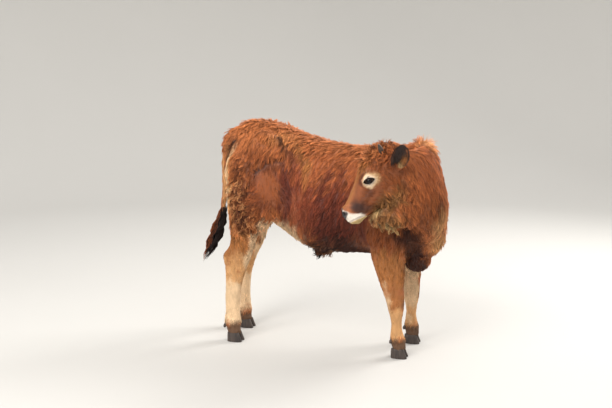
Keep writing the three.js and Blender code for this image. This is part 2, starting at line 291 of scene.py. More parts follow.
def edges_of(faces):
    """The corner numbers of every edge, each edge once."""
    pairs = np.sort(np.concatenate([faces[:, [0, 1]], faces[:, [1, 2]], faces[:, [2, 0]]]), 1)
    return np.unique(pairs, axis=0)


def relaxed(points, faces, rounds, share=1.0):
    """Each point goes PULL of the way to the mean of its neighbours, then PUSH of the way
    back along the new difference, times its share, so bumps fade and the form stays."""
    edges, count = edges_of(faces), len(points)
    ends, starts = edges.ravel(), edges[:, ::-1].ravel()
    degree = np.maximum(np.bincount(ends, minlength=count), 1)
    share = np.broadcast_to(share, count)[:, None]
    for step in [PULL, PUSH] * rounds:
        sums = [np.bincount(ends, points[starts, axis], count) for axis in range(3)]
        points = points + step * share * (np.stack(sums, -1) / degree[:, None] - points)
    return points


def normals_of(points, faces):
    """Unit vertex normals: the sum of the cross products of the faces round a point."""
    a, b, c = (points[faces[:, k]] for k in range(3))
    flat = np.cross(b - a, c - a)
    total = np.zeros_like(points)
    for k in range(3):
        for axis in range(3):
            total[:, axis] += np.bincount(faces[:, k], flat[:, axis], len(points))
    return unit(total)


def smoothstep(low, high, value):
    """0 below low, 1 above high, and 3t^2 - 2t^3 between."""
    t = np.clip((value - low) / (high - low), 0, 1)
    return t * t * (3 - 2 * t)


def bell(points, at, reach):
    """exp(-d^2), with the distance d from at measured in units of reach."""
    return np.exp(-(((points - at) / reach) ** 2).sum(-1))


outness = (normals_of(*ball) * unit(ball[0])).sum(1)
print("a ball's normals point outwards by", outness.min().round(3), "or more of 1")

# %% [markdown]
# ## Trunk, neck, tail and legs under the coat
# The solids show the outside of the coat. The skin lies deeper, by the depth of the
# hair: a finger's width on the body, a few millimetres on the shins. The tables repeat
# the solids' sections.

# %% Body sections
COAT = 17  # depth of the winter coat on the body
TRUNK = [  # x, top, bottom, half width, how much wider above, squareness
    (-472, 905, 810, 44, 0, 2),
    (-455, 962, 750, 96, 0, 2),
    (-418, 1034, 695, 138, 0, 2),
    (-345, 1072, 640, 170, 0, 2),
    (-250, 1070, 578, 184, 0.04, 2.3),
    (-165, 1046, 524, 180, 0.1, 2.4),
    (-90, 1018, 474, 186, 0.04, 2.2),
    (10, 988, 440, 206, 0, 2),
    (110, 970, 438, 212, 0, 2),
    (210, 962, 438, 204, 0, 2),
    (300, 970, 430, 188, 0, 2),
    (380, 970, 408, 168, 0, 2),
    (450, 940, 406, 142, 0, 2),
    (510, 872, 430, 112, 0, 2),
    (558, 790, 460, 76, 0, 2),
    (590, 716, 548, 36, 0, 2),
]
NECK = [  # x, y, z, up, down, half width, how much wider above
    (290, 0, 760, 195, 210, 140, 0),
    (400, -12, 748, 222, 252, 136, -0.1),
    (482, -72, 742, 246, 244, 120, -0.42),
    (516, -165, 760, 232, 208, 104, -0.42),
    (494, -250, 788, 186, 172, 92, -0.24),
    (438, -302, 812, 150, 186, 84, -0.12),
    (362, -320, 812, 112, 176, 66, 0),
]
TAIL = [  # x, z, radius along, radius across
    (-386, 1010, 40, 40),
    (-440, 984, 42, 42),
    (-474, 936, 32, 34),
    (-480, 880, 26, 28),
    (-484, 820, 22, 24),
    (-487, 740, 19, 21),
    (-495, 665, 17, 18),
    (-506, 588, 14, 15),
    (-528, 528, 12, 12),
]
print("sections: trunk", len(TRUNK), "neck", len(NECK), "tail", len(TAIL))

# %% [markdown]
# A few eggs give the muscles and bones that show through: haunch, hip bone, stifle,
# shoulder, elbow, brisket. Where a loft meets an egg the surfaces simply overlap,
# because the remesh melts them together later.

# %% Muscles and bones
BODY_EGGS = [  # place, reach, tilt, whether the other side has one as well
    ((464, -16, 442), (62, 74, 58), 0, False),  # brisket
    ((16, 0, 462), (50, 22, 36), 0, False),  # navel
    ((390, -334, 680), (86, 42, 42), 2, False),  # throat
    ((-205, 122, 974), (70, 26, 34), 25, True),  # hip bone
    ((-408, 68, 948), (46, 46, 52), 0, True),  # pin bone
    ((-330, 118, 800), (100, 64, 130), -12, True),  # haunch
    ((-222, 132, 655), (50, 46, 70), 15, True),  # stifle
    ((300, 128, 780), (70, 58, 150), 14, True),  # shoulder blade
    ((395, 118, 700), (62, 62, 74), 0, True),  # point of the shoulder
    ((292, 134, 590), (42, 48, 80), 20, True),  # upper arm and elbow
]
print(len(BODY_EGGS), "muscles and bones,", sum(one[3] for one in BODY_EGGS), "of them on both sides")

# %% [markdown]
# The coat's depth comes off every reach of trunk, neck and tail, but never so much that
# a thin end would vanish.


# %% Trunk, neck and tail
def trunk_skin():
    """The trunk's loft, each half width and reach less the depth of the coat."""
    x, top, bottom, side, taper, square = through(TRUNK, 60).T
    middle = bottom + 0.42 * (top - bottom)
    path = np.stack([x, 0 * x, middle], -1)
    path[[0, -1], 0] += [COAT, -COAT]
    depth = np.minimum(COAT, side * 0.6)
    return loft(path, top - middle - depth, middle - bottom - depth, side - depth, (0, 0, 1),
                taper=taper, square=square, around=96)


def neck_skin():
    """The neck's loft along its bent middle line, less the coat."""
    table = through(NECK, 40)
    up, down, half, taper = table[:, 3:].T
    return loft(table[:, :3], up - COAT, down - COAT, half - COAT, (0, 0, 1), taper=taper, around=72)


def tail_skin():
    """The tail's loft down its line, where the coat grows thinner on the way."""
    x, z, along, across = through(TAIL, 60).T
    depth = np.interp(z, [600, 860, 960], [4, 7, 14])
    path = np.stack([x, 0 * x, z], -1)
    return loft(path, along - depth, along - depth, across - depth, (1, 0, 0), level=False, around=20)


print("trunk of", len(trunk_skin()[1]), "triangles, neck of", len(neck_skin()[1]))

# %% [markdown]
# A leg is a loft too, with its sections level and its stations at the joints: stifle,
# hock or knee, cannon, fetlock and pastern. The near and far legs share one table each
# for fore and hind, and a drift sets each one forward or back, as the animal stands.

# %% Leg sections
STANCE = 114  # each foot from the middle plane
HIND_LEG = [  # height, x of its back and front, half width, distance from the middle
    (905, -408, -245, 42, 96),
    (850, -434, -195, 74, 108),
    (770, -440, -165, 88, 114),
    (690, -436, -156, 90, 116),
    (610, -424, -196, 76, 120),
    (530, -412, -262, 52, 124),
    (470, -420, -284, 44, 124),
    (422, -452, -300, 39, 122),
    (365, -446, -324, 35, 119),
    (300, -445, -348, 32, 116),
    (215, -448, -362, 31, STANCE),
    (140, -447, -366, 32, STANCE),
    (98, -452, -362, 37, STANCE),
    (68, -442, -366, 34, STANCE),
    (44, -434, -366, 34, STANCE),
    (32, -422, -378, 26, STANCE),
]
FORE_LEG = [
    (850, 262, 410, 42, 118),
    (780, 228, 448, 62, 128),
    (700, 232, 474, 70, 134),
    (620, 244, 470, 70, 136),
    (540, 256, 448, 64, 134),
    (470, 266, 436, 56, 128),
    (405, 285, 430, 47, 122),
    (330, 311, 428, 39, 118),
    (265, 335, 430, 38, STANCE),
    (225, 346, 428, 36, STANCE),
    (165, 362, 420, 29, STANCE),
    (120, 362, 423, 30, STANCE),
    (85, 360, 436, 36, STANCE),
    (62, 366, 438, 34, STANCE),
    (44, 372, 438, 34, STANCE),
    (32, 382, 426, 26, STANCE),
]
LEGS = {  # table, side, drift of the foot and of the hock or elbow
    "hind_right": (HIND_LEG, -1, 0, 0),
    "hind_left": (HIND_LEG, 1, -30, -46),
    "fore_right": (FORE_LEG, -1, 0, 0),
    "fore_left": (FORE_LEG, 1, 20, 38),
}
JOINT_HEIGHT = 380
print("legs:", list(LEGS))

# %% [markdown]
# A foot that stands further ahead takes its whole leg along, most at the joint and not
# at all at the top, where the leg joins the trunk.


# %% Leg lofts
def drift(foot, joint, z, top):
    """How far the leg stands ahead at height z: foot to joint below the joint, then to 0."""
    return np.where(z > JOINT_HEIGHT, joint * (top - z) / (top - JOINT_HEIGHT),
                    foot + (joint - foot) * z / JOINT_HEIGHT)


def leg_skin(table, side, foot, joint):
    """A leg's loft: its middle lies halfway from back to front, moved ahead by its drift."""
    z, back, front, half, y = through(table, 110).T
    depth = np.interp(z, [0, 60, 300, 420, 620, 800], [1, 4, 5, 6, 10, COAT])
    x = (front + back) / 2 + drift(foot, joint, z, table[0][0])
    reach = (front - back) / 2 - depth
    return loft(np.stack([x, side * y, z], -1), reach, reach, half - depth, (1, 0, 0), around=48)


legs = [leg_skin(*leg) for leg in LEGS.values()]
print(len(legs), "legs of", len(legs[0][1]), "triangles")

# %% [markdown]
# ## Head
# The head is drawn straight in its own frame: a wedge of oval sections from the poll to
# the lips, with eggs for the rims of the eyes, the jaw muscles and the sides of the
# muzzle. Its net is three times finer than the body's, so that it can be sculpted.

# %% Head sections
HEAD = [  # x, top, bottom, half width, how much wider above, squareness
    (-30, 0, -118, 42, 0, 2),
    (0, 18, -145, 58, 0, 2),
    (30, 24, -165, 70, 0, 2.2),
    (75, 26, -172, 78, 0.06, 2.3),
    (120, 23, -168, 80, 0.12, 2.3),
    (155, 12, -160, 76, 0.16, 2.3),
    (190, -3, -150, 65, 0.1, 2.3),
    (225, -16, -141, 54, 0.04, 2.3),
    (258, -28, -134, 47, 0, 2.3),
    (290, -37, -131, 44.5, 0, 2.4),
    (313, -46, -121, 41, 0, 2.4),
    (326, -58, -103, 27, 0, 2.4),
]
HEAD_EGGS = [  # place, reach, tilt of the left one
    ((139, 57, -30), (36, 24, 26), 20),  # rim of the eye
    ((106, 42, -114), (58, 30, 56), 25),  # jaw muscle
    ((294, 22, -64), (27, 21.5, 28), 10),  # side of the muzzle
]
HEAD_CELL = 2.45  # mm


def head_form():
    """The loft through the head's sections, and its eggs on both sides."""
    x, top, bottom, side, taper, square = through(HEAD, 70).T
    middle = bottom + 0.55 * (top - bottom)
    path = np.stack([x, 0 * x, middle], -1)
    skull = loft(path, top - middle, middle - bottom, side, (0, 0, 1),
                 taper=taper, square=square, around=96)
    eggs = [egg(*one) for one in HEAD_EGGS]
    return [skull] + eggs + [mirrored(one) for one in eggs]


head_points, head_faces = melted(head_form(), HEAD_CELL)
print("head of", len(head_faces), "triangles,", np.ptp(head_points, 0).round(), "mm")

# %% [markdown]
# Sculpting could be done by hand with brushes, but then nobody could read or repeat it.
# Each press here moves the skin in or out by a soft bell: the hollow of the temple, the
# crest of the cheek, the chin, the groove under the jaw. The nostrils are oval pits with
# a rolled edge, and the mouth is a groove between two rolled lips.

# %% Sculpted head
PRESSES = [  # place, reach, millimetres out
    ((100, 76, 2), (24, 16, 14), -5),  # temple
    ((168, 74, -60), (16, 14, 9), -2.5),  # tear hollow
    ((205, 62, -76), (36, 12, 10), 2.5),  # cheek crest
    ((120, 0, -172), (90, 20, 14), -9),  # groove between the jaws
    ((300, 0, -128), (16, 26, 10), 3),  # chin
    ((262, 45, -48), (16, 10, 14), -2.5),  # behind the nostril
    ((24, 54, 8), (14, 14, 14), 4),  # collar of the horn bud
    ((326, 0, -74), (9, 3.5, 26), -2.2),  # cleft of the upper lip
]
NOSTRIL, NOSTRIL_OUT, NOSTRIL_WAY = (317, 33, -59), (0.8, 0.58, 0.12), (-0.35, 0.35, 0.87)
NOSTRIL_SIZE, NOSTRIL_DEPTH, NOSTRIL_END = (12.5, 6.5), 10, -14  # and no skin below its end moves
NOSTRIL_RIM = (1.6, 1.4, 0.35)  # mm out, then where it lies and how wide, in pit sizes
MOUTH_X, MOUTH_Z = (262, 285, 312, 330), (-123, -112, -100, -97)  # the slit, from the side
LIP = (1.8, 8, 5)  # each lip's roll: mm out, mm from the slit, and width
GROOVE = (4.2, 2.4)  # the slit between them: mm in, and width
SMOOTH_HEAD = 14  # rounds of smoothing before it
FAR = 9.0  # added to a distance, so that a pit or a ring marks one side only


def square_to(way, out):
    """The unit part of way that is square to out."""
    way, out = np.asarray(way, float), unit(np.asarray(out, float))
    return unit(way - out * (way @ out))


def sculpted(points, faces):
    """Presses, nostrils and mouth: each point moves along its normal, or straight into a pit."""
    normals = normals_of(points, faces)
    for at, reach, out in PRESSES:
        amount = np.maximum(bell(points, at, reach), bell(points * [1, -1, 1], at, reach))
        points = points + normals * (out * amount)[:, None]
    for side in (1, -1):
        flip = np.array([1, side, 1])
        out = unit(np.array(NOSTRIL_OUT) * flip)
        long = square_to(np.array(NOSTRIL_WAY) * flip, out)
        away = points - np.array(NOSTRIL) * flip
        spread = np.stack([away @ long / NOSTRIL_SIZE[0], away @ np.cross(out, long) / NOSTRIL_SIZE[1]])
        distance = np.hypot(*spread) + FAR * (away @ out < NOSTRIL_END)
        points = points - np.outer(NOSTRIL_DEPTH * (1 - smoothstep(0.45, 1.1, distance)), out)
        rim = NOSTRIL_RIM[0] * np.exp(-(((distance - NOSTRIL_RIM[1]) / NOSTRIL_RIM[2]) ** 2))
        points = points + normals * rim[:, None]
    above = points[:, 2] - np.interp(points[:, 0], MOUTH_X, MOUTH_Z)
    front = smoothstep(MOUTH_X[0] - 4, MOUTH_X[0] + 12, points[:, 0])
    rolls = LIP[0] * np.exp(-(((np.abs(above) - LIP[1]) / LIP[2]) ** 2))
    slit = GROOVE[0] * np.exp(-((above / GROOVE[1]) ** 2))
    return points + normals * (front * (rolls - slit))[:, None]


melted_head = head_points
head_points = sculpted(relaxed(head_points, head_faces, SMOOTH_HEAD), head_faces)
head_points = relaxed(head_points, head_faces, 1)
print("sculpting moved the skin by", np.abs(head_points - melted_head).max().round(1), "mm at most")

# %% [markdown]
# ## Eyes and lids
# A calf's eye is a wide dark ball that looks sideways. The lids lie on it as two soft
# rolls that meet in points, longer than the ball is wide, with a crease above. A hole
# cut in the skin would leave a hard rim. Instead the skin sinks into a socket and the
# lids are a ring of their own, draped from the ball out to the skin: at each angle and
# at each share of the way across, the surface goes from the ball's height to the skin's.

# %% Sockets
EYE_RADIUS = 17.6
EYE_OUT, EYE_WAY = (0.2, 0.95, 0.16), (0.89, 0, 0.46)  # where it looks, and the slit's way
SLIT = (22, 10.2)  # half length and half height of the opening
GROWTH = (0.62, 1.25)  # of the slit's halves, where the almond grows to twice its size
SOCKET_DEPTH, SOCKET_EDGE = 15, 5  # mm in, and mm wider than the slit


def eye_axes(side):
    """Columns along the slit, up across it, and out of the head, for one eye."""
    flip = np.array([1, side, 1])
    out = unit(np.array(EYE_OUT) * flip)
    along = square_to(np.array(EYE_WAY) * flip, out)
    return np.stack([along, np.cross(out, along) * side * -1, out], -1)


def almond(angle, grow=0.0):
    """A lens with pointed ends: |x/a|^1.5 + |y/b|^1.5 = 1, as sign(c)|c|^(4/3) and so on."""
    c, s = np.cos(angle), np.sin(angle)
    x = SLIT[0] * np.sign(c) * np.abs(c) ** (4 / 3)
    y = SLIT[1] * np.sign(s) * np.abs(s) ** (4 / 3)
    return x + grow * GROWTH[0] * SLIT[0] * c, y + grow * GROWTH[1] * SLIT[1] * s


def socketed(points):
    """Sinks the skin under each lid, deepest in the middle of the opening."""
    for side in (1, -1):
        local = (points - EYE * [1, side, 1]) @ eye_axes(side)
        distance = np.hypot(local[:, 0] / (SLIT[0] + SOCKET_EDGE), local[:, 1] / (SLIT[1] + SOCKET_EDGE))
        sink = SOCKET_DEPTH * (1 - smoothstep(0.55, 1.05, distance)) * (local[:, 2] > 0)
        points = points - np.outer(sink, eye_axes(side)[:, 2])
    return points


socket_points = socketed(head_points)
print("the sockets are", np.abs(socket_points - head_points).max().round(1), "mm deep")

# %% Lids
LID_WIDTH, LID_THICK = 0.95, 2.6  # across, as a share of the opening, and the rim in mm
LID_AROUND, LID_ROWS = 72, 9  # points round the opening and from the rim outwards
BALL_GAP, BALL_FLAT = 0.8, 0.62  # mm from ball to lid, and how little the lid dips at its corners
CREASE = (1.3, 0.42, 0.12)  # mm in, then where it lies and how wide, as shares of the way across
OUTSIDE = 60  # mm off the head, from where the skin is felt for


def ball_height(x, y):
    """How far out the lid's underside lies: sqrt(r^2 - (flat x)^2 - y^2)."""
    return np.sqrt(np.maximum((EYE_RADIUS + BALL_GAP) ** 2 - (x * BALL_FLAT) ** 2 - y**2, 1))


def lid_ring(side, surface):
    """A closed roll round the opening. Its outer sheet rises from the ball to the skin:
    height = ball + (skin - ball) * smoothstep(b), less a crease; the inner sheet lies below."""
    axes, centre = eye_axes(side), EYE * [1, side, 1]
    angle = np.linspace(0, 2 * np.pi, LID_AROUND, endpoint=False)
    sheet = []
    for b in np.linspace(0, 1, LID_ROWS):
        x, y = almond(angle, b * LID_WIDTH)
        flat = centre + np.outer(x, axes[:, 0]) + np.outer(y, axes[:, 1])
        hits = [surface.ray_cast(Vector(p + axes[:, 2] * OUTSIDE), Vector(-axes[:, 2])) for p in flat]
        skin = np.array([OUTSIDE - hit[3] if hit[0] else 0.0 for hit in hits])
        ball = ball_height(x, y) + LID_THICK * np.sqrt(min(b * 6, 1))
        crease = CREASE[0] * np.exp(-(((b - CREASE[1]) / CREASE[2]) ** 2)) * np.maximum(np.sin(angle), 0)
        height = ball + (skin - 0.5 - ball) * smoothstep(0.35, 1, b) - crease
        sheet.append(flat + np.outer(height, axes[:, 2]))
    outer = np.array(sheet)
    inner = outer[::-1] - axes[:, 2] * np.linspace(6, LID_THICK * 0.7, LID_ROWS)[:, None, None]
    rings = np.concatenate([inner, outer])
    rows, around = rings.shape[:2]
    i, j = np.arange(rows)[:, None], np.arange(around)
    a, b = i * around + j, i * around + (j + 1) % around
    c, d = (i + 1) % rows * around + (j + 1) % around, (i + 1) % rows * around + j
    faces = np.stack([a, b, c, a, c, d], -1).reshape(-1, 3)
    return outward(rings.reshape(-1, 3), faces)


head_surface = BVHTree.FromPolygons(head_points.tolist(), head_faces.tolist())
lids = [lid_ring(side, head_surface) for side in (1, -1)]
head_points = socket_points
print("lids of", [len(faces) for _, faces in lids], "triangles")

# %% [markdown]
# ## Ears
# An ear is a leaf rolled into a trough, thick where it leaves the head and thin at the
# rim. Its section is a flat oval whose edges rise by the cup; ridges of gristle run up
# the hollow side. It is drawn in its own frame, along its length and out of its hollow.

# %% Ears
EAR_LENGTH = 127
EAR_ROOT, EAR_WAY, EAR_OPENING = (38, 72, -82), (-0.62, 0.62, 0.42), (0.35, 0.85, -0.4)
EAR = [  # share of the length, thickness, half width, how far the edges rise
    (-0.12, 10, 12, 4),
    (0.1, 7.5, 20, 13),
    (0.3, 4, 31, 20),
    (0.52, 2.6, 37, 20),
    (0.74, 2.2, 34, 16),
    (0.9, 2, 24, 9),
    (1, 1.2, 9, 3),
]
EAR_RIDGES, RIDGE_HIGH = 9, 1.1  # waves of gristle across the hollow, and their height in mm
ear_along = unit(np.array(EAR_WAY))
ear_out = square_to(EAR_OPENING, EAR_WAY)
ear_axes = np.stack([ear_along, np.cross(ear_out, ear_along), ear_out], -1)


def ear_leaf():
    """At angle a the section lies at (half cos a, cup cos^2 a + thick sin a + ridges)."""
    share, thick, half, cup = (column[:, None] for column in through(EAR, 56).T)
    angle = np.linspace(0, 2 * np.pi, 64, endpoint=False)
    c, s = np.cos(angle), np.sin(angle)
    ridges = RIDGE_HIGH * np.cos(EAR_RIDGES * c) * np.maximum(s, 0)
    ridges = ridges * smoothstep(0, 0.3, share) * smoothstep(1, 0.7, share)
    local = np.stack([share * EAR_LENGTH + 0 * c, half * c, cup * c * c + thick * s + ridges], -1)
    ends = local[[0, -1]].mean(1)
    points = np.concatenate([local.reshape(-1, 3), ends]) @ ear_axes.T + EAR_ROOT
    return outward(points, tube_faces(len(share), 64))


ear = ear_leaf()
print("ear of", len(ear[1]), "triangles")

# %% [markdown]
# ## Folds
# Skin folds where a limb moves: over the thigh, below the hip bone, at the flank, behind
# the elbow. Each fold is a line with a width, a depth and a colour: the dark colours are
# painted shade in the crease, and beside the tail painted shadow over dark skin. A minus
# depth stands out instead, and a depth of nought only colours.
# A brush could carve them too, but a table of lines can be read and corrected.

# %% Folds
FOLDS = [  # from, to, how wide and how deep in mm, and its colour; on both sides
    ((-262, 160, 826), (-196, 163, 876), 12, 9, "umber"),  # over the thigh
    ((-196, 163, 876), (-140, 152, 884), 14, 8, "umber"),
    ((-112, 165, 700), (-140, 135, 590), 20, 6, "maroon"),  # fold of the flank
    ((-176, 120, 985), (-98, 131, 930), 15, 5, "umber"),  # below the hip bone
    ((-98, 131, 930), (-70, 150, 880), 16, 4, "maroon"),
    ((-75, 110, 960), (-12, 145, 868), 16, -3, "fawn"),  # hair parted along the flank
    ((-12, 145, 868), (-14, 165, 790), 14, -3, "fawn"),
    ((100, 150, 850), (58, 185, 730), 14, 3, "maroon"),  # ribs
    ((58, 185, 730), (85, 195, 630), 14, 3, "maroon"),
    ((150, 140, 850), (122, 190, 690), 14, 3, "maroon"),
    ((236, 170, 640), (246, 150, 520), 18, 7, "maroon"),  # behind the elbow
    # beside the tail: painted shadow in the slit, over dark skin
    ((-384, 102, 976), (-424, 106, 905), 11, 7, "black"),  # beside the tail
    ((-424, 106, 905), (-452, 60, 760), 14, 7, "black"),
    ((-372, 122, 966), (-410, 128, 900), 8, 0, "cream"),  # the pale edge of that slit
    ((-410, 128, 900), (-424, 134, 830), 11, 0, "cream"),
]


def fold_share(points, width=1.0):
    """For each fold, exp(-(d / width)^2), with d the distance from its line on either side."""
    mirrored_points = points * [1, 0, 1] + [0, 1, 0] * np.abs(points)
    shares = []
    for start, end, reach, *_ in FOLDS:
        line = np.subtract(end, start)
        along = np.clip((mirrored_points - start) @ line / (line @ line), 0, 1)
        distance = np.linalg.norm(mirrored_points - start - along[:, None] * line, axis=1)
        shares.append(np.exp(-((distance / (reach * width)) ** 2)))
    return shares


print(len(FOLDS), "folds, the deepest", max(fold[3] for fold in FOLDS), "mm")

# %% [markdown]
# ## One skin
# Head and ears are united, then set on the body, so that the whole animal is one closed
# surface. Where they meet, the crease is relaxed until it blends. The lids join last.

# %% Skin
BODY_CELL = 7.9  # mm
SMOOTH_LEGS, SMOOTH_BODY, SMOOTH_JOINT = 6, 22, 8  # rounds of smoothing


def body_form():
    """Every closed surface of the body, its eggs mirrored where both sides have one."""
    eggs = [egg(*one[:3]) for one in BODY_EGGS]
    others = [mirrored(made) for made, one in zip(eggs, BODY_EGGS) if one[3]]
    return [trunk_skin(), neck_skin(), tail_skin()] + legs + eggs + others


body_points, body_faces = melted(body_form(), BODY_CELL)
body_share = smoothstep(60, 260, body_points[:, 2])
body_points = relaxed(body_points, body_faces, SMOOTH_LEGS)
body_points = relaxed(body_points, body_faces, SMOOTH_BODY, body_share)
pressed = sum(fold[3] * share for fold, share in zip(FOLDS, fold_share(body_points)))
body_points = body_points - normals_of(body_points, body_faces) * pressed[:, None]

whole_head = united(united((head_points, head_faces), ear), mirrored(ear))
skin_points, skin_faces = united((body_points, body_faces), (from_head(whole_head[0]), whole_head[1]))
in_head = to_head(skin_points)
joint = smoothstep(110, 40, in_head[:, 0]) * smoothstep(-150, -60, in_head[:, 0])
skin_points = relaxed(skin_points, skin_faces, SMOOTH_JOINT, joint)
skin_points, skin_faces = joined([(skin_points, skin_faces)] + [(from_head(p), f) for p, f in lids])
skin_normals = normals_of(skin_points, skin_faces)
skin = mesh_from("skin", placed(skin_points), skin_faces)
print("skin of", len(skin_faces), "triangles")

# %% [markdown]
# ## Markings
# The colours of a coat aren't painted on: each hair is one colour from a small palette,
# and soft patches of it blend into each other with ragged edges. So each marking is a
# named colour, a place and a reach, laid over the ones before it. The same function
# colours the skin and every lock that grows from it, so no pale skin shows between dark
# hairs.

# %% Palette
def paint(red, green, blue):
    """A colour named in ordinary screen values, as the linear light that shaders use."""
    value = np.array([red, green, blue]) / 255
    return np.where(value > 0.04045, ((value + 0.055) / 1.055) ** 2.4, value / 12.92)


PALETTE = {
    "ginger": paint(174, 102, 58),
    "rust": paint(155, 84, 47),
    "bay": paint(134, 73, 39),
    "saddle": paint(142, 76, 38),
    "mauve": paint(142, 76, 50),
    "russet": paint(116, 54, 34),
    "maroon": paint(90, 41, 29),
    "umber": paint(62, 32, 22),
    "black": paint(30, 20, 18),
    "fawn": paint(160, 102, 55),
    # painted highlight, where light falls on the top of the hip and the crest
    "highlight_apricot": paint(222, 150, 90),
    "sand": paint(206, 154, 102),
    "cream": paint(228, 194, 154),
    "straw": paint(202, 172, 118),
    "white": paint(238, 226, 212),
    "olive": paint(126, 88, 50),
    "slate": paint(50, 46, 48),
    "peat": paint(102, 74, 54),
}
print(len(PALETTE), "hair colours")

# %% [markdown]
# The patches, from the ground colours to the small marks: each lies over the ones above
# it in its table. The calf darkens from its back to its belly, partly its own darker hair
# and partly painted shade under the body, and it is palest inside its legs.

# %% Patches
BODY_PATCHES = [  # colour, place (on both sides), reach, strength, softness of the edge
    # these five darken the trunk downwards: darker hair, and painted shade under the body as well
    ("rust", (60, 200, 840), (420, 220, 130), 0.8, 0.6),
    ("mauve", (-60, 200, 690), (110, 220, 150), 0.9, 0.5),
    ("russet", (120, 200, 680), (210, 220, 140), 1.0, 0.5),
    ("maroon", (170, 190, 590), (210, 230, 110), 1.0, 0.5),
    ("umber", (150, 0, 500), (180, 270, 96), 1.0, 0.4),
    ("cream", (-140, 40, 540), (90, 150, 90), 0.9, 0.5),
    ("umber", (8, 0, 476), (84, 190, 66), 1.0, 0.3),
    # painted highlight on the top of the hip
    ("highlight_apricot", (-130, 130, 990), (70, 80, 40), 0.45, 0.7),
    ("bay", (-256, 185, 905), (124, 100, 66), 0.85, 0.5),
    ("russet", (-92, 185, 816), (84, 90, 86), 0.7, 0.6),
    ("bay", (-300, 200, 690), (120, 110, 230), 0.95, 0.4),
    ("umber", (-335, 200, 660), (62, 80, 200), 0.5, 0.8),
    ("maroon", (-190, 180, 760), (90, 90, 120), 0.7, 0.4),
    ("maroon", (-120, 180, 768), (44, 90, 96), 0.85, 0.6),
    ("saddle", (-202, 176, 762), (60, 80, 82), 1.0, 0.4),
    ("sand", (-422, 134, 770), (52, 60, 190), 0.9, 0.5),
    ("cream", (-432, 140, 760), (30, 40, 160), 0.7, 0.5),
    ("cream", (-290, 20, 550), (150, 84, 170), 0.95, 0.3),
    ("fawn", (-350, 160, 440), (110, 90, 120), 0.95, 0.35),
    ("sand", (-340, 160, 400), (90, 90, 60), 0.7, 0.5),
    ("cream", (-232, 110, 570), (32, 80, 60), 0.9, 0.5),
    ("cream", (-280, 120, 480), (30, 90, 80), 0.9, 0.5),
    ("cream", (-318, 120, 385), (24, 90, 80), 0.9, 0.5),
    ("sand", (-400, 110, 300), (90, 90, 120), 1.0, 0.3),
    ("cream", (-410, 114, 190), (80, 80, 130), 1.0, 0.3),
    ("bay", (340, 150, 560), (130, 120, 130), 0.95, 0.4),
    ("fawn", (360, 140, 400), (110, 110, 120), 0.95, 0.35),
    ("fawn", (390, 114, 260), (80, 90, 60), 0.9, 0.4),
    ("sand", (385, 114, 160), (80, 90, 90), 1.0, 0.3),
    ("cream", (345, 114, 200), (26, 60, 160), 0.7, 0.5),
    ("cream", (400, 72, 300), (70, 34, 200), 0.9, 0.4),
    ("umber", (434, 122, 246), (20, 30, 24), 0.6, 0.5),
    # the brisket's dark hair, with painted shade under the chest
    ("umber", (464, 40, 436), (62, 90, 64), 1.0, 0.25),
]
NECK_PATCHES = [  # the neck bends to one side, so these lie where they are said to
    ("rust", (520, -200, 860), (170, 200, 150), 0.7, 0.5),
    ("bay", (510, -250, 700), (130, 170, 140), 0.8, 0.5),
    # painted highlight along the top of the crest
    ("highlight_apricot", (530, -160, 985), (56, 80, 40), 0.9, 0.6),
    ("umber", (594, -232, 715), (34, 50, 42), 0.5, 0.7),
    ("rust", (520, -260, 860), (80, 90, 110), 0.6, 0.6),
    # these two: dark hair, with painted shade under the jaw and on the side of the chest
    ("umber", (450, -150, 575), (70, 100, 56), 0.95, 0.5),
    ("umber", (470, -110, 500), (52, 90, 60), 0.9, 0.5),
    # these two: the chest's pale hair, partly painted light where its front faces the sky
    ("sand", (592, -185, 630), (40, 90, 84), 0.75, 0.8),
    ("sand", (564, -40, 530), (42, 110, 84), 0.8, 0.8),
    ("olive", (380, -350, 670), (90, 70, 46), 0.8, 0.5),
    ("straw", (380, -360, 628), (80, 60, 30), 0.9, 0.6),
]
HEAD_PATCHES = [  # in the head's frame, on both sides
    ("bay", (110, 0, -60), (200, 130, 140), 1.0, 0.3),
    ("fawn", (225, 0, -20), (120, 40, 60), 0.9, 0.5),
    ("fawn", (120, 20, 20), (60, 50, 30), 0.6, 0.6),
    ("ginger", (40, 0, 24), (66, 64, 40), 0.8, 0.5),
    ("olive", (150, 50, -150), (90, 60, 46), 0.85, 0.5),
    ("bay", (120, 80, -120), (40, 40, 26), 0.6, 0.7),
    ("straw", (225, 30, -150), (50, 40, 14), 0.6, 0.6),
    ("umber", (192, 68, -72), (32, 30, 20), 0.55, 0.7),
    ("umber", (256, 46, -82), (36, 30, 38), 1.0, 0.7),
    ("umber", (242, 36, -112), (34, 30, 16), 0.6, 0.7),
]
print("patches:", [len(table) for table in (BODY_PATCHES, NECK_PATCHES, HEAD_PATCHES)])

# %% [markdown]
# A marking with a clean edge looks painted. The ragged edge comes from a ripple field, a
# sum of slanted waves, added to the distance before the edge is drawn. Unlike a texture's
# noise it can be asked for at any point, of the skin or of a lock.

# %% Ripples and layers
RAGGED = 0.22  # how far the ripples move a patch's edge, as a share of its reach


def ripple(points, size, waves=14, seed=3):
    """A smooth random field from -1 to 1: the mean of sin(k . p + phase) over slanted waves,
    their lengths near size, stretched to fill the range."""
    draw = np.random.default_rng(seed)
    ways = unit(draw.normal(size=(waves, 3))) * (2 * np.pi / size) * draw.uniform(0.7, 1.5, (waves, 1))
    return np.clip(np.sin(points @ ways.T + draw.uniform(0, 6.3, waves)).mean(1) * 2.4, -1, 1)


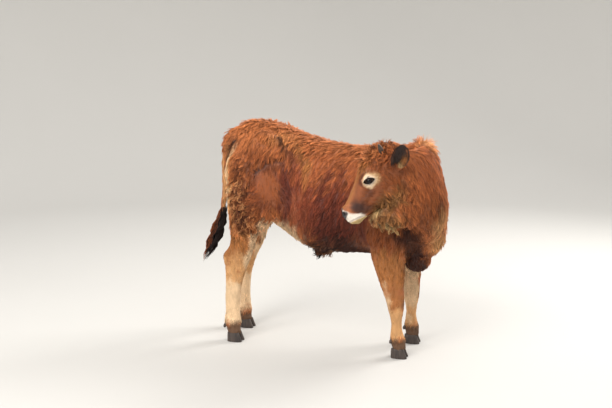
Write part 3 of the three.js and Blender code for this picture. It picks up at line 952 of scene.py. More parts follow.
def patched(colours, points, patches, ragged, both_sides):
    """Lays each patch over the colours, by how far inside its egg a point lies."""
    for name, at, reach, strength, soft in patches:
        away = (points - at) / reach
        if both_sides:
            away[:, 1] = (np.abs(points[:, 1]) - at[1]) / reach[1]
        distance = np.linalg.norm(away, axis=1) + RAGGED * ragged
        share = strength * (1 - smoothstep(1 - soft, 1 + soft * 0.5, distance))
        colours = colours + share[:, None] * (PALETTE[name] - colours)
    return colours


def over(colours, name, share):
    """A colour laid over others: each goes its share of the way to it."""
    return colours + share[:, None] * (PALETTE[name] - colours)


tried = ripple(skin_points, 60)
print("ripples from", tried.min().round(2), "to", tried.max().round(2))

# %% [markdown]
# The face has markings that patches can't give: a white ring round the muzzle, a bare
# nose pad, and a pale ring round each eye, with painted shade along its edge above and in
# front. Each is a distance worked out in its own place, from the lips or from the almond
# of the lids.

# %% Face
MUZZLE_X = (264, 264, 268, 281, 291, 298, 302, 306)  # back edge of the white ring
MUZZLE_Z = (-130, -112, -102, -92, -82, -70, -56, -30)  # at these heights
NOSE_PAD = (302, -60, 44, 23)  # it starts at this x, round this z, this half wide and half high
RING, RIM = (12, 21), (3.5, 3.5)  # mm of pale ring along and across the slit, and of bare rim
BEHIND_EYE = 45  # mm in or out of the slit: beyond this, a point isn't near the eye


def leather(local):
    """How bare the skin is at head points: 1 on the nose pad and the nostrils, 0 in the hair."""
    distance = np.hypot((local[:, 2] - NOSE_PAD[1]) / NOSE_PAD[3], local[:, 1] / NOSE_PAD[2])
    return smoothstep(1.08, 0.92, distance) * smoothstep(NOSE_PAD[0] - 3, NOSE_PAD[0] + 2, local[:, 0])


def eye_distance(local, grow):
    """How far head points lie from an eye: 1 at the slit's almond with its two half axes
    grown by so many mm, as (|x/a|^1.5 + |y/b|^1.5)^(2/3)."""
    found = []
    for side in (1, -1):
        x, y, depth = np.abs((local - EYE * [1, side, 1]) @ eye_axes(side)).T
        almond_at = (x / (SLIT[0] + grow[0])) ** 1.5 + (y / (SLIT[1] + grow[1])) ** 1.5
        found.append(almond_at ** (2 / 3) + FAR * (depth > BEHIND_EYE))
    return np.minimum(*found)


def face_marked(colours, local, near, ragged):
    """The muzzle's white ring and its straw chin, then rings round each eye's almond: straw
    behind, cream, painted shade in umber on the ring's edge above and in front, white
    inside, and the black rim."""
    ring = smoothstep(-5, 5, local[:, 0] - np.interp(local[:, 2], MUZZLE_Z, MUZZLE_X) + 3 * ragged) * near
    colours = over(colours, "white", ring * (np.abs(local[:, 1]) < 70) * (np.abs(local[:, 2] + 80) < 75))
    chin = ring * smoothstep(0, 6, np.interp(local[:, 0], MOUTH_X, MOUTH_Z) - local[:, 2])
    colours = over(colours, "straw", chin)
    ring = eye_distance(local, RING) + 0.11 * ragged
    behind = smoothstep(1.6, 1.1, ring) * smoothstep(150, 120, local[:, 0])
    # brow_shade: painted shade on the pale ring's edge above and in front of the eye
    brow_shade = smoothstep(-50, -20, local[:, 2]) * smoothstep(1.5, 1.25, ring) * smoothstep(1.0, 1.2, ring)
    colours = over(colours, "straw", 0.4 * near * behind)
    colours = over(colours, "cream", near * smoothstep(1.16, 0.8, ring))
    colours = over(colours, "umber", 0.8 * near * brow_shade * smoothstep(115, 145, local[:, 0]))
    colours = over(colours, "white", 0.5 * near * smoothstep(0.9, 0.6, ring))
    return over(colours, "black", near * smoothstep(1.1, 0.95, eye_distance(local, RIM)))


print("bare leather on", int((leather(to_head(skin_points)) > 0.5).sum()), "points of skin")

# %% [markdown]
# The ears are black in the hollow and along the rim, with tawny and pale hair at one
# edge. A point's place on an ear says how far along it lies, how near an edge, and how
# high over the hollow. The comb uses the same places.


# %% Ears' colours
def ear_place(local, side):
    """Where head points lie on an ear: share of its length, share of its half width, height
    over the parabola of its hollow, cup (across / half)^2, and whether they are on it."""
    along, across, out = ((local * [1, side, 1] - EAR_ROOT) @ ear_axes).T
    share = along / EAR_LENGTH
    stations, _, halves, cups = np.array(EAR).T
    edge = across / np.interp(share, stations, halves)
    above = out - np.interp(share, stations, cups) * edge**2
    on = (share > 0.1) & (share < 1.15) & (np.abs(edge) < 1.25) & (np.abs(above) < 16)
    return share, edge, above, on


def ear_colours(colours, local, ragged):
    """Black in the hollow and along the rim, then tawny and pale bells at one edge."""
    for side in (1, -1):
        share, edge, above, on = ear_place(local, side)
        hollow = smoothstep(-1, 1, above) * smoothstep(1.15, 0.7, np.abs(edge) + 0.15 * ragged)
        rim = smoothstep(0.72, 0.9, np.maximum(np.abs(edge), share))
        dark = np.maximum(0.97 * hollow, 0.95 * rim) * smoothstep(0.1, 0.3, share)
        colours = over(colours, "black", on * dark)
        place = np.stack([share, edge], -1)
        inside = on * (above > -1)
        colours = over(colours, "fawn", 0.85 * inside * bell(place, (0.38, -0.66), (0.2, 0.26)))
        colours = over(colours, "straw", 0.9 * inside * bell(place, (0.14, -0.5), (0.1, 0.35)))
    return colours


on_ear = ear_place(to_head(skin_points), 1)[3]
print("the left ear has", int(on_ear.sum()), "points of skin")

# %% [markdown]
# All the markings together: the ground colour, the patches of body and neck, the folds,
# the tail, the peat above the hooves, and last the head. The left legs stand ahead of
# the right ones or behind them, so their points are moved by that drift before a patch
# is looked up.

# %% All the markings
def beside_the_right(points):
    """Points of the left legs at the right legs' stance: x less share * drift(z)."""
    beside = smoothstep(40, 80, points[:, 1]) * (points[:, 2] < 850)
    hind, fore = smoothstep(-150, -250, points[:, 0]), smoothstep(200, 280, points[:, 0])
    for share, leg in ((hind, "hind_left"), (fore, "fore_left")):
        table, _, foot, joint = LEGS[leg]
        ahead = share * beside * drift(foot, joint, points[:, 2], table[0][0])
        points = points - np.outer(ahead, (1, 0, 0))
    return points


def marked(points):
    """The colour of the coat at calf points."""
    ragged = ripple(points, 60) + 0.6 * ripple(points, 22, seed=4)
    points = beside_the_right(points)
    colours = np.tile(PALETTE["ginger"], (len(points), 1))
    colours = patched(colours, points, BODY_PATCHES, ragged, True)
    colours = patched(colours, points, NECK_PATCHES, ragged, False)
    # the folds' dark colours are painted shade in the creases
    for fold, share in zip(FOLDS, fold_share(points, 1.1)):
        colours = over(colours, fold[4], 0.95 * share)
    tail = smoothstep(-462, -470, points[:, 0]) * smoothstep(930, 860, points[:, 2])
    tail = tail * smoothstep(36, 30, np.abs(points[:, 1]))
    colours = over(colours, "sand", 0.85 * tail)
    colours = over(colours, "rust", 0.7 * tail * smoothstep(-488, -500, points[:, 0]))
    colours = over(colours, "peat", smoothstep(105, 80, points[:, 2] + 12 * ragged))
    local = to_head(points)
    near = smoothstep(-60, 0, local[:, 0]) * (np.abs(local[:, 1]) < 125)
    on_face = patched(colours, local, HEAD_PATCHES, ragged * 0.6, True)
    colours = colours + near[:, None] * (on_face - colours)
    colours = face_marked(colours, local, near, ragged)
    colours = ear_colours(colours, local, ragged)
    return over(colours, "slate", leather(local) * near)


skin_colours = marked(skin_points)
print("markings on", len(skin_colours), "points of skin")

# %% [markdown]
# ## The lie of the coat
# A groomer combs an animal in one way on each part: down the legs, back and down along
# the ribs, up from the nose to the brow. A comb stroke here is a place, a way, and the
# length, lift and curl of the hair there. Between the strokes everything is a mean,
# weighted by one over the distance to the fifth power, so the nearest stroke rules but
# no edge shows. This is what guide hairs do in any hair tool. The ears have strokes of
# their own, since they lie close to the neck.

# %% Comb strokes
BODY_COMB = [  # place, way, length in mm, lift in degrees, curl; on both sides
    (-440, 60, 1000, -0.6, 0.3, -0.7, 28, 22, 0.4),
    (-350, 60, 1060, -0.5, 0.6, -0.3, 32, 26, 0.5),
    (-250, 70, 1065, -0.3, 0.8, -0.3, 34, 26, 0.55),
    (-150, 70, 1035, -0.2, 0.8, -0.4, 34, 24, 0.5),
    (-260, 150, 980, -0.3, 0.4, -0.8, 32, 14, 0.35),
    (-400, 110, 990, -0.4, 0.5, -0.8, 26, 14, 0.3),
    (0, 70, 985, -0.5, 0.8, -0.4, 38, 22, 0.3),
    (150, 70, 965, -0.5, 0.8, -0.4, 36, 18, 0.25),
    (300, 70, 965, -0.5, 0.8, -0.4, 36, 18, 0.25),
    (-200, 165, 940, -0.3, 0.3, -0.9, 38, 15, 0.35),
    (-100, 175, 850, -0.3, 0.1, -1, 36, 10, 0.2),
    (50, 195, 850, -0.45, 0.1, -0.9, 38, 11, 0.25),
    (190, 195, 820, -0.45, 0.1, -0.9, 38, 11, 0.25),
    (100, 205, 700, -0.5, 0, -0.85, 40, 12, 0.3),
    (100, 190, 560, -0.5, -0.2, -0.8, 42, 14, 0.35),
    (-60, 180, 640, -0.3, 0, -1, 34, 9, 0.15),
    (-120, 140, 560, -0.2, 0, -1, 26, 14, 0.2),
    (60, 60, 440, -0.9, 0.1, -0.2, 34, 20, 0.9),
    (230, 70, 435, -0.9, 0.1, -0.2, 26, 16, 0.4),
    (270, 150, 500, -0.2, 0, -1, 18, 8, 0.1),
    (282, 130, 440, -0.2, 0, -1, 14, 6, 0.1),
    (16, 10, 425, -0.5, 0, -1, 34, 20, 0.8),
    (330, 175, 760, -0.35, 0, -0.95, 36, 15, 0.2),
    (390, 150, 650, -0.2, 0, -1, 34, 15, 0.2),
    (-340, 180, 850, -0.3, 0, -1, 30, 18, 0.7),
    (-330, 190, 760, -0.3, 0, -1, 32, 24, 1.1),
    (-340, 190, 660, -0.15, 0, -1, 32, 24, 1.2),
    (-320, 170, 560, -0.1, 0, -1, 30, 22, 1.1),
    (-260, 180, 640, -0.6, 0, -0.8, 30, 20, 0.9),
    (-270, 180, 720, -0.9, 0, -0.3, 30, 16, 0.7),
    (-200, 175, 660, -0.2, 0, -1, 26, 14, 0.4),
    (-150, 170, 740, 0.5, 0, -0.8, 24, 10, 0.2),
    (-200, 175, 790, -0.1, 0, -1, 16, 6, 0.05),
    (-204, 176, 740, -0.3, 0, -1, 16, 6, 0.05),
    (-425, 120, 820, -0.1, 0.3, -1, 20, 10, 0.15),
    (-430, 100, 650, -0.1, 0.3, -1, 20, 10, 0.15),
    (-330, 160, 500, -0.1, 0, -1, 24, 12, 0.4),
    (-300, 40, 600, 0, 0, -1, 20, 12, 0.1),
    (-390, 150, 400, 0, 0, -1, 15, 8, 0.1),
    (-405, 145, 220, 0, 0, -1, 10, 6, 0),
    (-405, 145, 110, 0, 0, -1, 12, 10, 0),
    (-445, 114, 100, -0.3, 0, -1, 20, 14, 0),
    (-400, 114, 50, 0, 0, -1, 14, 6, 0),
    (350, 190, 560, -0.1, 0, -1, 26, 12, 0.2),
    (360, 165, 430, 0, 0, -1, 20, 10, 0.1),
    (385, 150, 300, 0, 0, -1, 13, 8, 0),
    (392, 145, 150, 0, 0, -1, 10, 6, 0),
    (400, 145, 90, 0, 0, -1, 13, 10, 0),
    (362, 114, 95, -0.3, 0, -1, 20, 14, 0),
    (405, 114, 50, 0, 0, -1, 14, 6, 0),
    (462, 20, 385, 0, 0, -1, 20, 18, 0.7),
    (470, 70, 430, 0.1, 0, -1, 18, 18, 0.7),
    (430, 70, 420, 0.1, 0, -1, 17, 18, 0.7),
    (510, 50, 440, 0.1, 0, -1, 18, 16, 0.6),
    (570, 20, 620, 0.1, 0, -1, 42, 20, 0.3),
    (-500, 20, 850, 0, 0, -1, 24, 12, 0.1),
    (-500, 15, 680, 0, 0, -1, 22, 8, 0.1),
]
NECK_COMB = [  # the bent neck's own strokes, on one side only
    (500, -260, 900, 0.35, 0.1, -0.95, 34, 6, 0.05),
    (470, -310, 870, 0.35, 0.1, -0.95, 32, 6, 0.05),
    (540, -200, 800, 0.3, 0.1, -0.95, 36, 6, 0.05),
    (500, -290, 750, 0.3, 0.1, -0.95, 36, 6, 0.08),
    (580, -100, 700, 0.1, 0.25, -0.95, 38, 7, 0.08),
    (450, -330, 760, 0.3, 0.1, -0.95, 34, 9, 0.15),
    (402, -350, 640, 0.1, 0.1, -1, 44, 32, 0.8),
    (335, -365, 655, 0.1, 0.1, -1, 36, 36, 0.8),
    (462, -335, 665, 0.2, 0.1, -1, 40, 16, 0.4),
    (480, -140, 990, 0.3, 0.2, -0.1, 42, 40, 0.6),
    (420, -40, 985, -0.3, 0.5, -0.4, 38, 22, 0.3),
    (440, -270, 960, 0.35, 0.1, -0.8, 38, 22, 0.35),
    (400, -170, 800, -0.3, 0.4, -0.8, 36, 14, 0.3),
]
HEAD_COMB = [  # in the head's frame, on both sides
    (300, 40, -70, -1, 0, 0.1, 5, 4, 0),
    (270, 20, -30, -1, 0.1, 0.1, 6, 5, 0),
    (220, 20, -12, -1, 0.15, 0.1, 8, 6, 0),
    (158, 16, 14, 0.6, 0.5, 0, 12, 12, 0.2),
    (125, 16, 24, 0.9, 0.35, 0.1, 24, 16, 0.4),
    (120, 48, 12, 0.7, 0.6, -0.2, 18, 14, 0.3),
    (88, 15, 28, 0.6, 0.35, 0.6, 40, 42, 0.8),
    (50, 15, 30, 0.1, 0.3, 0.9, 48, 58, 0.9),
    (5, 20, 24, -0.2, 0.4, 0.8, 42, 52, 0.9),
    (-25, 20, 0, -0.3, 0.6, 0.1, 32, 30, 0.6),
    (10, 62, 4, -0.1, 0.8, 0.3, 34, 30, 0.5),
    (45, 62, 6, 0.4, 0.7, 0.2, 24, 24, 0.5),
    (143, 80, -8, -0.8, 0.3, 0.3, 8, 8, 0),
    (143, 80, -64, -0.8, 0, -0.5, 8, 8, 0),
    (180, 68, -90, -0.5, 0, -0.85, 12, 8, 0.1),
    (110, 84, -90, 0.1, 0.1, -0.95, 18, 9, 0.2),
    (110, 80, -120, 0.32, 0.1, -0.93, 26, 16, 0.6),
    (60, 78, -110, 0.32, 0.1, -0.93, 28, 10, 0.3),
    (60, 70, -140, 0.4, 0.1, -0.9, 34, 20, 0.6),
    (160, 46, -152, 0.5, 0.1, -0.85, 32, 30, 0.8),
    (205, 34, -144, 0.4, 0.1, -0.9, 24, 28, 0.7),
    (90, 50, -172, 0.55, 0.2, -0.8, 38, 32, 0.8),
    (300, 25, -128, -0.9, 0, -0.4, 9, 10, 0.1),
    (240, 42, -125, -0.9, 0, -0.3, 10, 10, 0.1),
    (-20, 50, -60, 0.46, 0, -0.9, 32, 8, 0.1),
    (34, 84, -84, -0.62, 0.62, 0.42, 16, 14, 0.1),
]
EAR_COMB = [  # in the head's frame too; it rules the ears and nothing else
    (-5, 116, -52, -0.62, 0.62, 0.42, 9, 8, 0),
    (-46, 156, -23, -0.62, 0.62, 0.42, 7, 8, 0),
    (3, 108, -99, -0.6, 0.5, 0.7, 21, 34, 0.2),
    (-18, 126, -91, -0.6, 0.5, 0.7, 17, 28, 0.2),
    (28, 133, -34, -0.62, 0.62, 0.3, 10, 16, 0.1),
]
print("strokes:", [len(table) for table in (BODY_COMB, NECK_COMB, HEAD_COMB, EAR_COMB)])

# %% [markdown]
# Combing gives every place of the skin the mean of the strokes round it, in batches,
# because a table of all points by all strokes would fill the memory.

# %% Combing
FALL_OFF = -2.5  # of the squared distance, so the fifth power of the distance
NEAR = 150  # mm squared: within its root, a stroke's weight hardly grows
ELSEWHERE = 0.01  # weight of an ear's stroke off the ears, and of the others on them
BATCH = 15_000  # points weighed at once


def combed(points):
    """Way, length, lift and curl at calf points: the strokes' mean with weights d^-5."""
    flip = np.array([1, -1, 1, 1, -1, 1, 1, 1, 1])
    body, head = np.array(BODY_COMB), np.array(HEAD_COMB + EAR_COMB)
    head = np.concatenate([head, head * flip])
    head = np.hstack([from_head(head[:, :3]), head[:, 3:6] @ head_axes.T, head[:, 6:]])
    strokes = np.concatenate([body, body * flip, np.array(NECK_COMB), head])
    strokes[:, 3:6] = unit(strokes[:, 3:6])
    half = len(HEAD_COMB + EAR_COMB)
    for_ears = np.zeros(len(strokes), bool)
    for_ears[-len(EAR_COMB):] = True
    for_ears[-half - len(EAR_COMB) : -half] = True
    means = []
    for part in np.array_split(points, max(1, len(points) // BATCH)):
        local = to_head(part)
        on_ears = ear_place(local, 1)[3] | ear_place(local, -1)[3]
        squared = ((part[:, None] - strokes[:, :3]) ** 2).sum(-1) + NEAR
        weight = squared**FALL_OFF * np.where(on_ears[:, None] == for_ears, 1, ELSEWHERE)
        means.append((weight / weight.sum(1, keepdims=True)) @ strokes[:, 3:])
    return np.concatenate(means)


lie = combed(skin_points)
print("combed: hair", lie[:, 3].min().round(1), "to", lie[:, 3].max().round(1), "mm long")

# %% [markdown]
# ## Growing locks
# Real hair is far too fine to model one by one, and Blender's own hair doesn't leave it as
# closed meshes. A lock is the answer in between: a thin three-sided spike, flattened,
# wide near its root and pointed at its tip. First the roots are sown over the skin, with
# the density that the coat asks for at each place.


# %% Sowing
def sown(density):
    """Even random roots. Each triangle gets area * density locks, by walking the running
    total in jittered steps of one. Gives the triangle and the corner weights of each."""
    a, b, c = (skin_points[skin_faces[:, k]] for k in range(3))
    area = np.linalg.norm(np.cross(b - a, c - a), axis=1) / 2
    total = np.cumsum(area * density[skin_faces].mean(1))
    steps = np.arange(int(total[-1])) + chance.random(int(total[-1]))
    face = np.searchsorted(total, steps)
    u, v = chance.random((2, len(face)))
    folded = u + v > 1
    u, v = np.where(folded, 1 - u, u), np.where(folded, 1 - v, v)
    return face, np.stack([1 - u - v, u, v], -1)


def at_roots(values, face, weights):
    """A value on the skin's points, taken at the roots."""
    return np.einsum("nk,nk...->n...", weights, values[skin_faces[face]])


def turned_about(ways, normals, angle):
    """ways turned in the skin's plane: way cos a + (normal x way) sin a."""
    a = angle[:, None]
    return ways * np.cos(a) + np.cross(normals, ways) * np.sin(a)


print("skin to sow on:", len(skin_faces), "triangles")

# %% [markdown]
# A lock leaves the skin at the comb's lift, sags back along its way, and waves sideways
# where the hair is curly. Locks cling together in clumps: each follows a leader close by
# and its tip is drawn to the leader's tip, the more so the curlier the hair is. That
# clumping is what tells a coat from a field of spikes.

# %% Growing
CLUMP = 6  # locks that share a leader
ROOT_DEPTH = 0.8  # mm below the skin
WAVES, WAVE_ASIDE, WAVE_OUT = 8.5, 0.13, 0.07  # radians along a lock, and shares of its length
RIDGE = 0.45  # height of a lock's ridge as a share of its width


def locks(root, normal, way, length, width, lift, curl, leader, rings):
    """Lock lines root + L((cos l t) way + sin l (t - sag t^2) normal + curl waves), each tip
    drawn towards its leader's, then dressed with a three-sided section that tapers away."""
    t = np.linspace(0, 1, rings + 1)[None, :, None]
    side = np.cross(normal, way)
    column = lambda value: value[:, None, None]
    phase = column(chance.random(len(root)) * 6.3)
    sag = column(np.interp(lift, [0.35, 1.0], [0.55, 0.2]))
    run, rise = np.cos(column(lift)) * t, np.sin(column(lift)) * (t - sag * t * t)
    wave = column(curl) * t * WAVE_ASIDE * np.sin(WAVES * t + phase)
    swell = column(curl) * t * WAVE_OUT * np.cos(WAVES * t + phase)
    line = run * way[:, None] + (rise + swell) * normal[:, None] + wave * side[:, None]
    line = line * column(length) + (root - normal * ROOT_DEPTH)[:, None]
    cling = np.clip(0.3 + 0.5 * column(curl), 0, 0.8) * t**1.7
    line = line + (line[leader, -1:] - line[:, -1:]) * cling
    wide = column(width) * np.interp(t, [0, 0.3, 0.7, 1], [0.8, 1, 0.65, 0])
    left, right = line - side[:, None] * wide / 2, line + side[:, None] * wide / 2
    ridge = line + normal[:, None] * wide * RIDGE
    rings_of = np.stack([left, right, ridge], 2)[:, :-1].reshape(len(root), -1, 3)
    return np.concatenate([rings_of, line[:, -1:]], 1)


def lock_faces(rings):
    """Triangles of one lock: a cap at its root, sides between the rings, and a tip."""
    faces = [[0, 2, 1]]
    for ring in range(rings - 1):
        for k in range(3):
            a, b = ring * 3 + k, ring * 3 + (k + 1) % 3
            faces += [[a, b, b + 3], [a, b + 3, a + 3]]
    last = (rings - 1) * 3
    return np.array(faces + [[last + k, last + (k + 1) % 3, rings * 3] for k in range(3)])


print("a short lock has", len(lock_faces(2)), "triangles, a long one", len(lock_faces(3)))

# %% [markdown]
# ## A map for the coat
# When the coat's colours are kept as a picture, each lock needs its own small place in
# it. So a lighter copy of the skin is unwrapped once, and each lock gets a patch three
# thousandths of the map wide, at the place of its root. Neighbours on the animal are
# then neighbours on the map, and may share a patch, as their colours are much the same.

# %% Unwrap
MAP_SHARE = 0.07  # of the skin's triangles, enough for its shape
PATCH = 0.003  # of the map's width, for each lock
SEAM_ANGLE, SEAM_GAP = math.radians(66), 0.003  # bends past this angle split the map, this far apart


def unwrapped():
    """The thinned skin's triangles, their points in calf millimetres, and their corners' UVs."""
    thin = mesh_from("map", skin_points, skin_faces)
    fewer = thin.modifiers.new("fewer", "DECIMATE")
    fewer.ratio = MAP_SHARE
    bpy.context.view_layer.objects.active = thin
    thin.select_set(True)
    bpy.ops.object.modifier_apply(modifier=fewer.name)
    bpy.ops.object.mode_set(mode="EDIT")
    bpy.ops.mesh.select_all(action="SELECT")
    bpy.ops.uv.smart_project(angle_limit=SEAM_ANGLE, island_margin=SEAM_GAP)
    bpy.ops.object.mode_set(mode="OBJECT")
    mesh = thin.data
    corners = np.empty(len(mesh.loops) * 2)
    mesh.uv_layers.active.uv.foreach_get("vector", corners)
    points = np.empty(len(mesh.vertices) * 3)
    mesh.vertices.foreach_get("co", points)
    vertex = np.empty(len(mesh.loops), np.int32)
    mesh.loops.foreach_get("vertex_index", vertex)
    bpy.data.objects.remove(thin)
    return points.reshape(-1, 3), vertex.reshape(-1, 3), corners.reshape(-1, 3, 2)


map_points, map_faces, map_corners = unwrapped()
map_tree = BVHTree.FromPolygons(map_points.tolist(), map_faces.tolist())


def map_places(points):
    """UV of the nearest place on the map: area weights of the point in its triangle."""
    found = [map_tree.find_nearest(Vector(p)) for p in points]
    near = np.array([hit[0][:] for hit in found])
    index = np.array([hit[2] for hit in found])
    a, b, c = (map_points[map_faces[index, k]] for k in range(3))
    area = lambda p, q, r: np.linalg.norm(np.cross(q - p, r - p), axis=1)
    weights = np.stack([area(near, b, c), area(a, near, c), area(a, b, near)], -1)
    weights /= weights.sum(1, keepdims=True)
    return np.einsum("nk,nkj->nj", weights, map_corners[index])


map_ends = map_corners.min().round(3), map_corners.max().round(3)
print("map of", len(map_faces), "triangles, from", *map_ends)

# %% [markdown]
# ## Materials
# The hair material is used on the skin and on the locks, so its shared part is a node
# group: it takes the marking's colour and how far along the lock a point lies, and
# gives the colour with the variation that every coat has, darker at the roots where
# less light gets in and lighter at the dry tips. The shader itself stays in the
# material. Hair scatters light widely, so it is rough, with a little sheen.


# %% Node helpers
def add(tree, kind, inputs=(), **settings):
    """A node with its settings; an input given a socket is linked, and any other is set."""
    node = tree.nodes.new(kind)
    for name, value in settings.items():
        setattr(node, name, value)
    for name, value in dict(inputs).items():
        if isinstance(value, bpy.types.NodeSocket):
            tree.links.new(value, node.inputs[name])
        else:
            node.inputs[name].default_value = value
    return node


def group_of(name, inputs, outputs):
    """A node group with Float or Color sockets, and its input and output nodes."""
    tree = bpy.data.node_groups.new(name, "ShaderNodeTree")
    for direction, sockets in (("INPUT", inputs), ("OUTPUT", outputs)):
        for label, kind in sockets.items():
            tree.interface.new_socket(label, in_out=direction, socket_type="NodeSocket" + kind)
    return tree, tree.nodes.new("NodeGroupInput"), tree.nodes.new("NodeGroupOutput")


def noise(tree, scale, detail=3.0, squeeze=(1, 1, 1)):
    """Noise on Object coordinates, squeezed along the axes."""
    place = add(tree, "ShaderNodeTexCoord")
    mapped = add(tree, "ShaderNodeMapping", {"Vector": place.outputs["Object"], "Scale": squeeze})
    inputs = {"Vector": mapped.outputs["Vector"], "Scale": scale, "Detail": detail}
    return add(tree, "ShaderNodeTexNoise", inputs).outputs["Fac"]


def ranged(tree, value, low, high, start=0.0, end=1.0):
    """value, from start to end, as low to high."""
    settings = {"Value": value, "From Min": start, "From Max": end, "To Min": low, "To Max": high}
    return add(tree, "ShaderNodeMapRange", settings).outputs["Result"]


def times(tree, a, b):
    """a * b, as a node."""
    return add(tree, "ShaderNodeMath", {0: a, 1: b}, operation="MULTIPLY").outputs["Value"]


def material(name, **settings):
    """A node material and its Principled BSDF, with constant values on the shader's own sockets."""
    made = bpy.data.materials.new(name)
    made.use_nodes = True
    shader = made.node_tree.nodes["Principled BSDF"]
    for label, value in settings.items():
        shader.inputs[label.replace("_", " ")].default_value = value
    return made, made.node_tree, shader


def wired(tree, shader, colour, roughness, height, strength, depth):
    """Links a colour and a roughness to the shader, and a height of so many metres as bump."""
    relief = {"Height": height, "Strength": strength, "Distance": depth}
    bump = add(tree, "ShaderNodeBump", relief).outputs["Normal"]
    for label, socket in (("Base Color", colour), ("Roughness", roughness), ("Normal", bump)):
        tree.links.new(socket, shader.inputs[label])


print("node helpers are ready in Blender", bpy.app.version_string)

# %% [markdown]
# The hair group: slow patches, streaks along the body's height and a fine grain, all of
# noise, since a coat's hairs differ with no pattern.

# %% Hair
PATCH_SCALE, STREAK_SCALE, FINE_SCALE = 7, 70, 420  # features for each metre
MIDDLE = (0.3, 0.7)  # the part of a noise's range that it mostly keeps to


def hair_group():
    """Colour = tint * patches * streaks * (root to tip); Roughness and Height vary too."""
    inputs = {"Tint": "Color", "Along": "Float"}
    outputs = {"Color": "Color", "Roughness": "Float", "Height": "Float"}
    tree, given, put = group_of("hair", inputs, outputs)
    patches = ranged(tree, noise(tree, PATCH_SCALE), 0.9, 1.1, *MIDDLE)
    streaks = ranged(tree, noise(tree, STREAK_SCALE, 2, (1, 1, 0.35)), 0.88, 1.12, *MIDDLE)
    depth = ranged(tree, given.outputs["Along"], 0.72, 1.14)
    shade = times(tree, times(tree, patches, streaks), depth)
    shaded = {0: given.outputs["Tint"], "Scale": shade}
    colour = add(tree, "ShaderNodeVectorMath", shaded, operation="SCALE")
    fine = noise(tree, FINE_SCALE, 2, (1, 1, 0.3))
    tree.links.new(colour.outputs["Vector"], put.inputs["Color"])
    tree.links.new(ranged(tree, fine, 0.55, 0.8), put.inputs["Roughness"])
    tree.links.new(fine, put.inputs["Height"])
    return tree


HAIR = hair_group()


def hair_material():
    """The hair group fed with each point's own tint and place along its lock."""
    made, tree, shader = material(
        "calf hair", Sheen_Weight=0.03, Sheen_Roughness=0.5, Specular_IOR_Level=0.15
    )
    tint = add(tree, "ShaderNodeAttribute", attribute_name="tint")
    along = add(tree, "ShaderNodeAttribute", attribute_name="along")
    hair = add(tree, "ShaderNodeGroup", node_tree=HAIR)
    tree.links.new(tint.outputs["Color"], hair.inputs["Tint"])
    tree.links.new(along.outputs["Fac"], hair.inputs["Along"])
    wired(tree, shader, *hair.outputs, 0.5, 0.001)
    return made


coat_hair = hair_material()
print("hair material with", len(coat_hair.node_tree.nodes), "nodes")

# %% [markdown]
# The skin uses the same hair group, because short flat hair is all that shows there,
# and one more thing: bare leather on the nose pad and in the nostrils, dark, moist and
# pebbled. A mask that is stored on the skin's points mixes the two.


# %% Skin material and skin piece
def stored(thing, name, values):
    """Keeps one number, or one colour, for each point of a mesh."""
    values = np.asarray(values, np.float32)
    if values.ndim == 1:
        layer = thing.data.attributes.new(name, "FLOAT", "POINT")
        layer.data.foreach_set("value", values)
    else:
        layer = thing.data.attributes.new(name, "FLOAT_COLOR", "POINT")
        opaque = np.ones((len(values), 1), np.float32)
        layer.data.foreach_set("color", np.hstack([values, opaque]).ravel())


def skin_material():
    """Hair mixed with moist pebbled leather, by the mask that the points keep."""
    made, tree, shader = material("calf skin", Specular_IOR_Level=0.4)
    tint = add(tree, "ShaderNodeAttribute", attribute_name="tint")
    bare = add(tree, "ShaderNodeAttribute", attribute_name="bare").outputs["Fac"]
    # Along 0.35: painted shade, as on the lower part of a lock where less light gets in
    hair = add(tree, "ShaderNodeGroup", {"Along": 0.35}, node_tree=HAIR)
    tree.links.new(tint.outputs["Color"], hair.inputs["Tint"])
    place = add(tree, "ShaderNodeTexCoord")
    pebbles = add(tree, "ShaderNodeTexVoronoi", {"Vector": place.outputs["Object"], "Scale": 420})
    wet = ranged(tree, pebbles.outputs["Distance"], 0.22, 0.4)
    mix = lambda a, b: add(tree, "ShaderNodeMix", {"Factor": bare, "A": a, "B": b}).outputs["Result"]
    height = mix(hair.outputs["Height"], pebbles.outputs["Distance"])
    roughness = mix(hair.outputs["Roughness"], wet)
    wired(tree, shader, hair.outputs["Color"], roughness, height, 0.6, 0.0012)
    return made


FLESH = ["trunk", "neck", "head", "tail_stem", "ear_left", "ear_right"] + ["leg_" + leg for leg in LEGS]
skin_local = to_head(skin_points)
skin_bare = np.maximum(leather(skin_local), smoothstep(1.1, 0.95, eye_distance(skin_local, RIM)))
stored(skin, "tint", skin_colours)
stored(skin, "bare", skin_bare)
skin.data.materials.append(skin_material())
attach(skin, "root")
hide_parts(*FLESH)
print("the skin stands for", len(FLESH), "solids")

# %% [markdown]
# ## The coat
# How many locks? Each covers about half its length times its width. The long coat needs
# half as much again as covers it, while on the face and shins the short hair lies flat
# and a broken layer is enough over the skin's own bump. The crown between the horn buds
# is a mop, with four times as many. The density follows from that, place by place.

# %% How many locks
LAYERS = ([6, 12, 30, 44], [0.7, 0.75, 1.25, 1.5])  # by the hair's length in mm
CROWN_AT, CROWN_REACH, CROWN_LAYERS = (40, 0, 20), (60, 60, 50), 3.2  # in the head's frame
CORONET, LIPS_BARE = (48, 40), 3.5  # mm up, where hair ends, and from the mouth's slit


def lock_width(length):
    """Width in mm: 1 and a twenty-fifth of the length."""
    return 1.0 + 0.04 * length


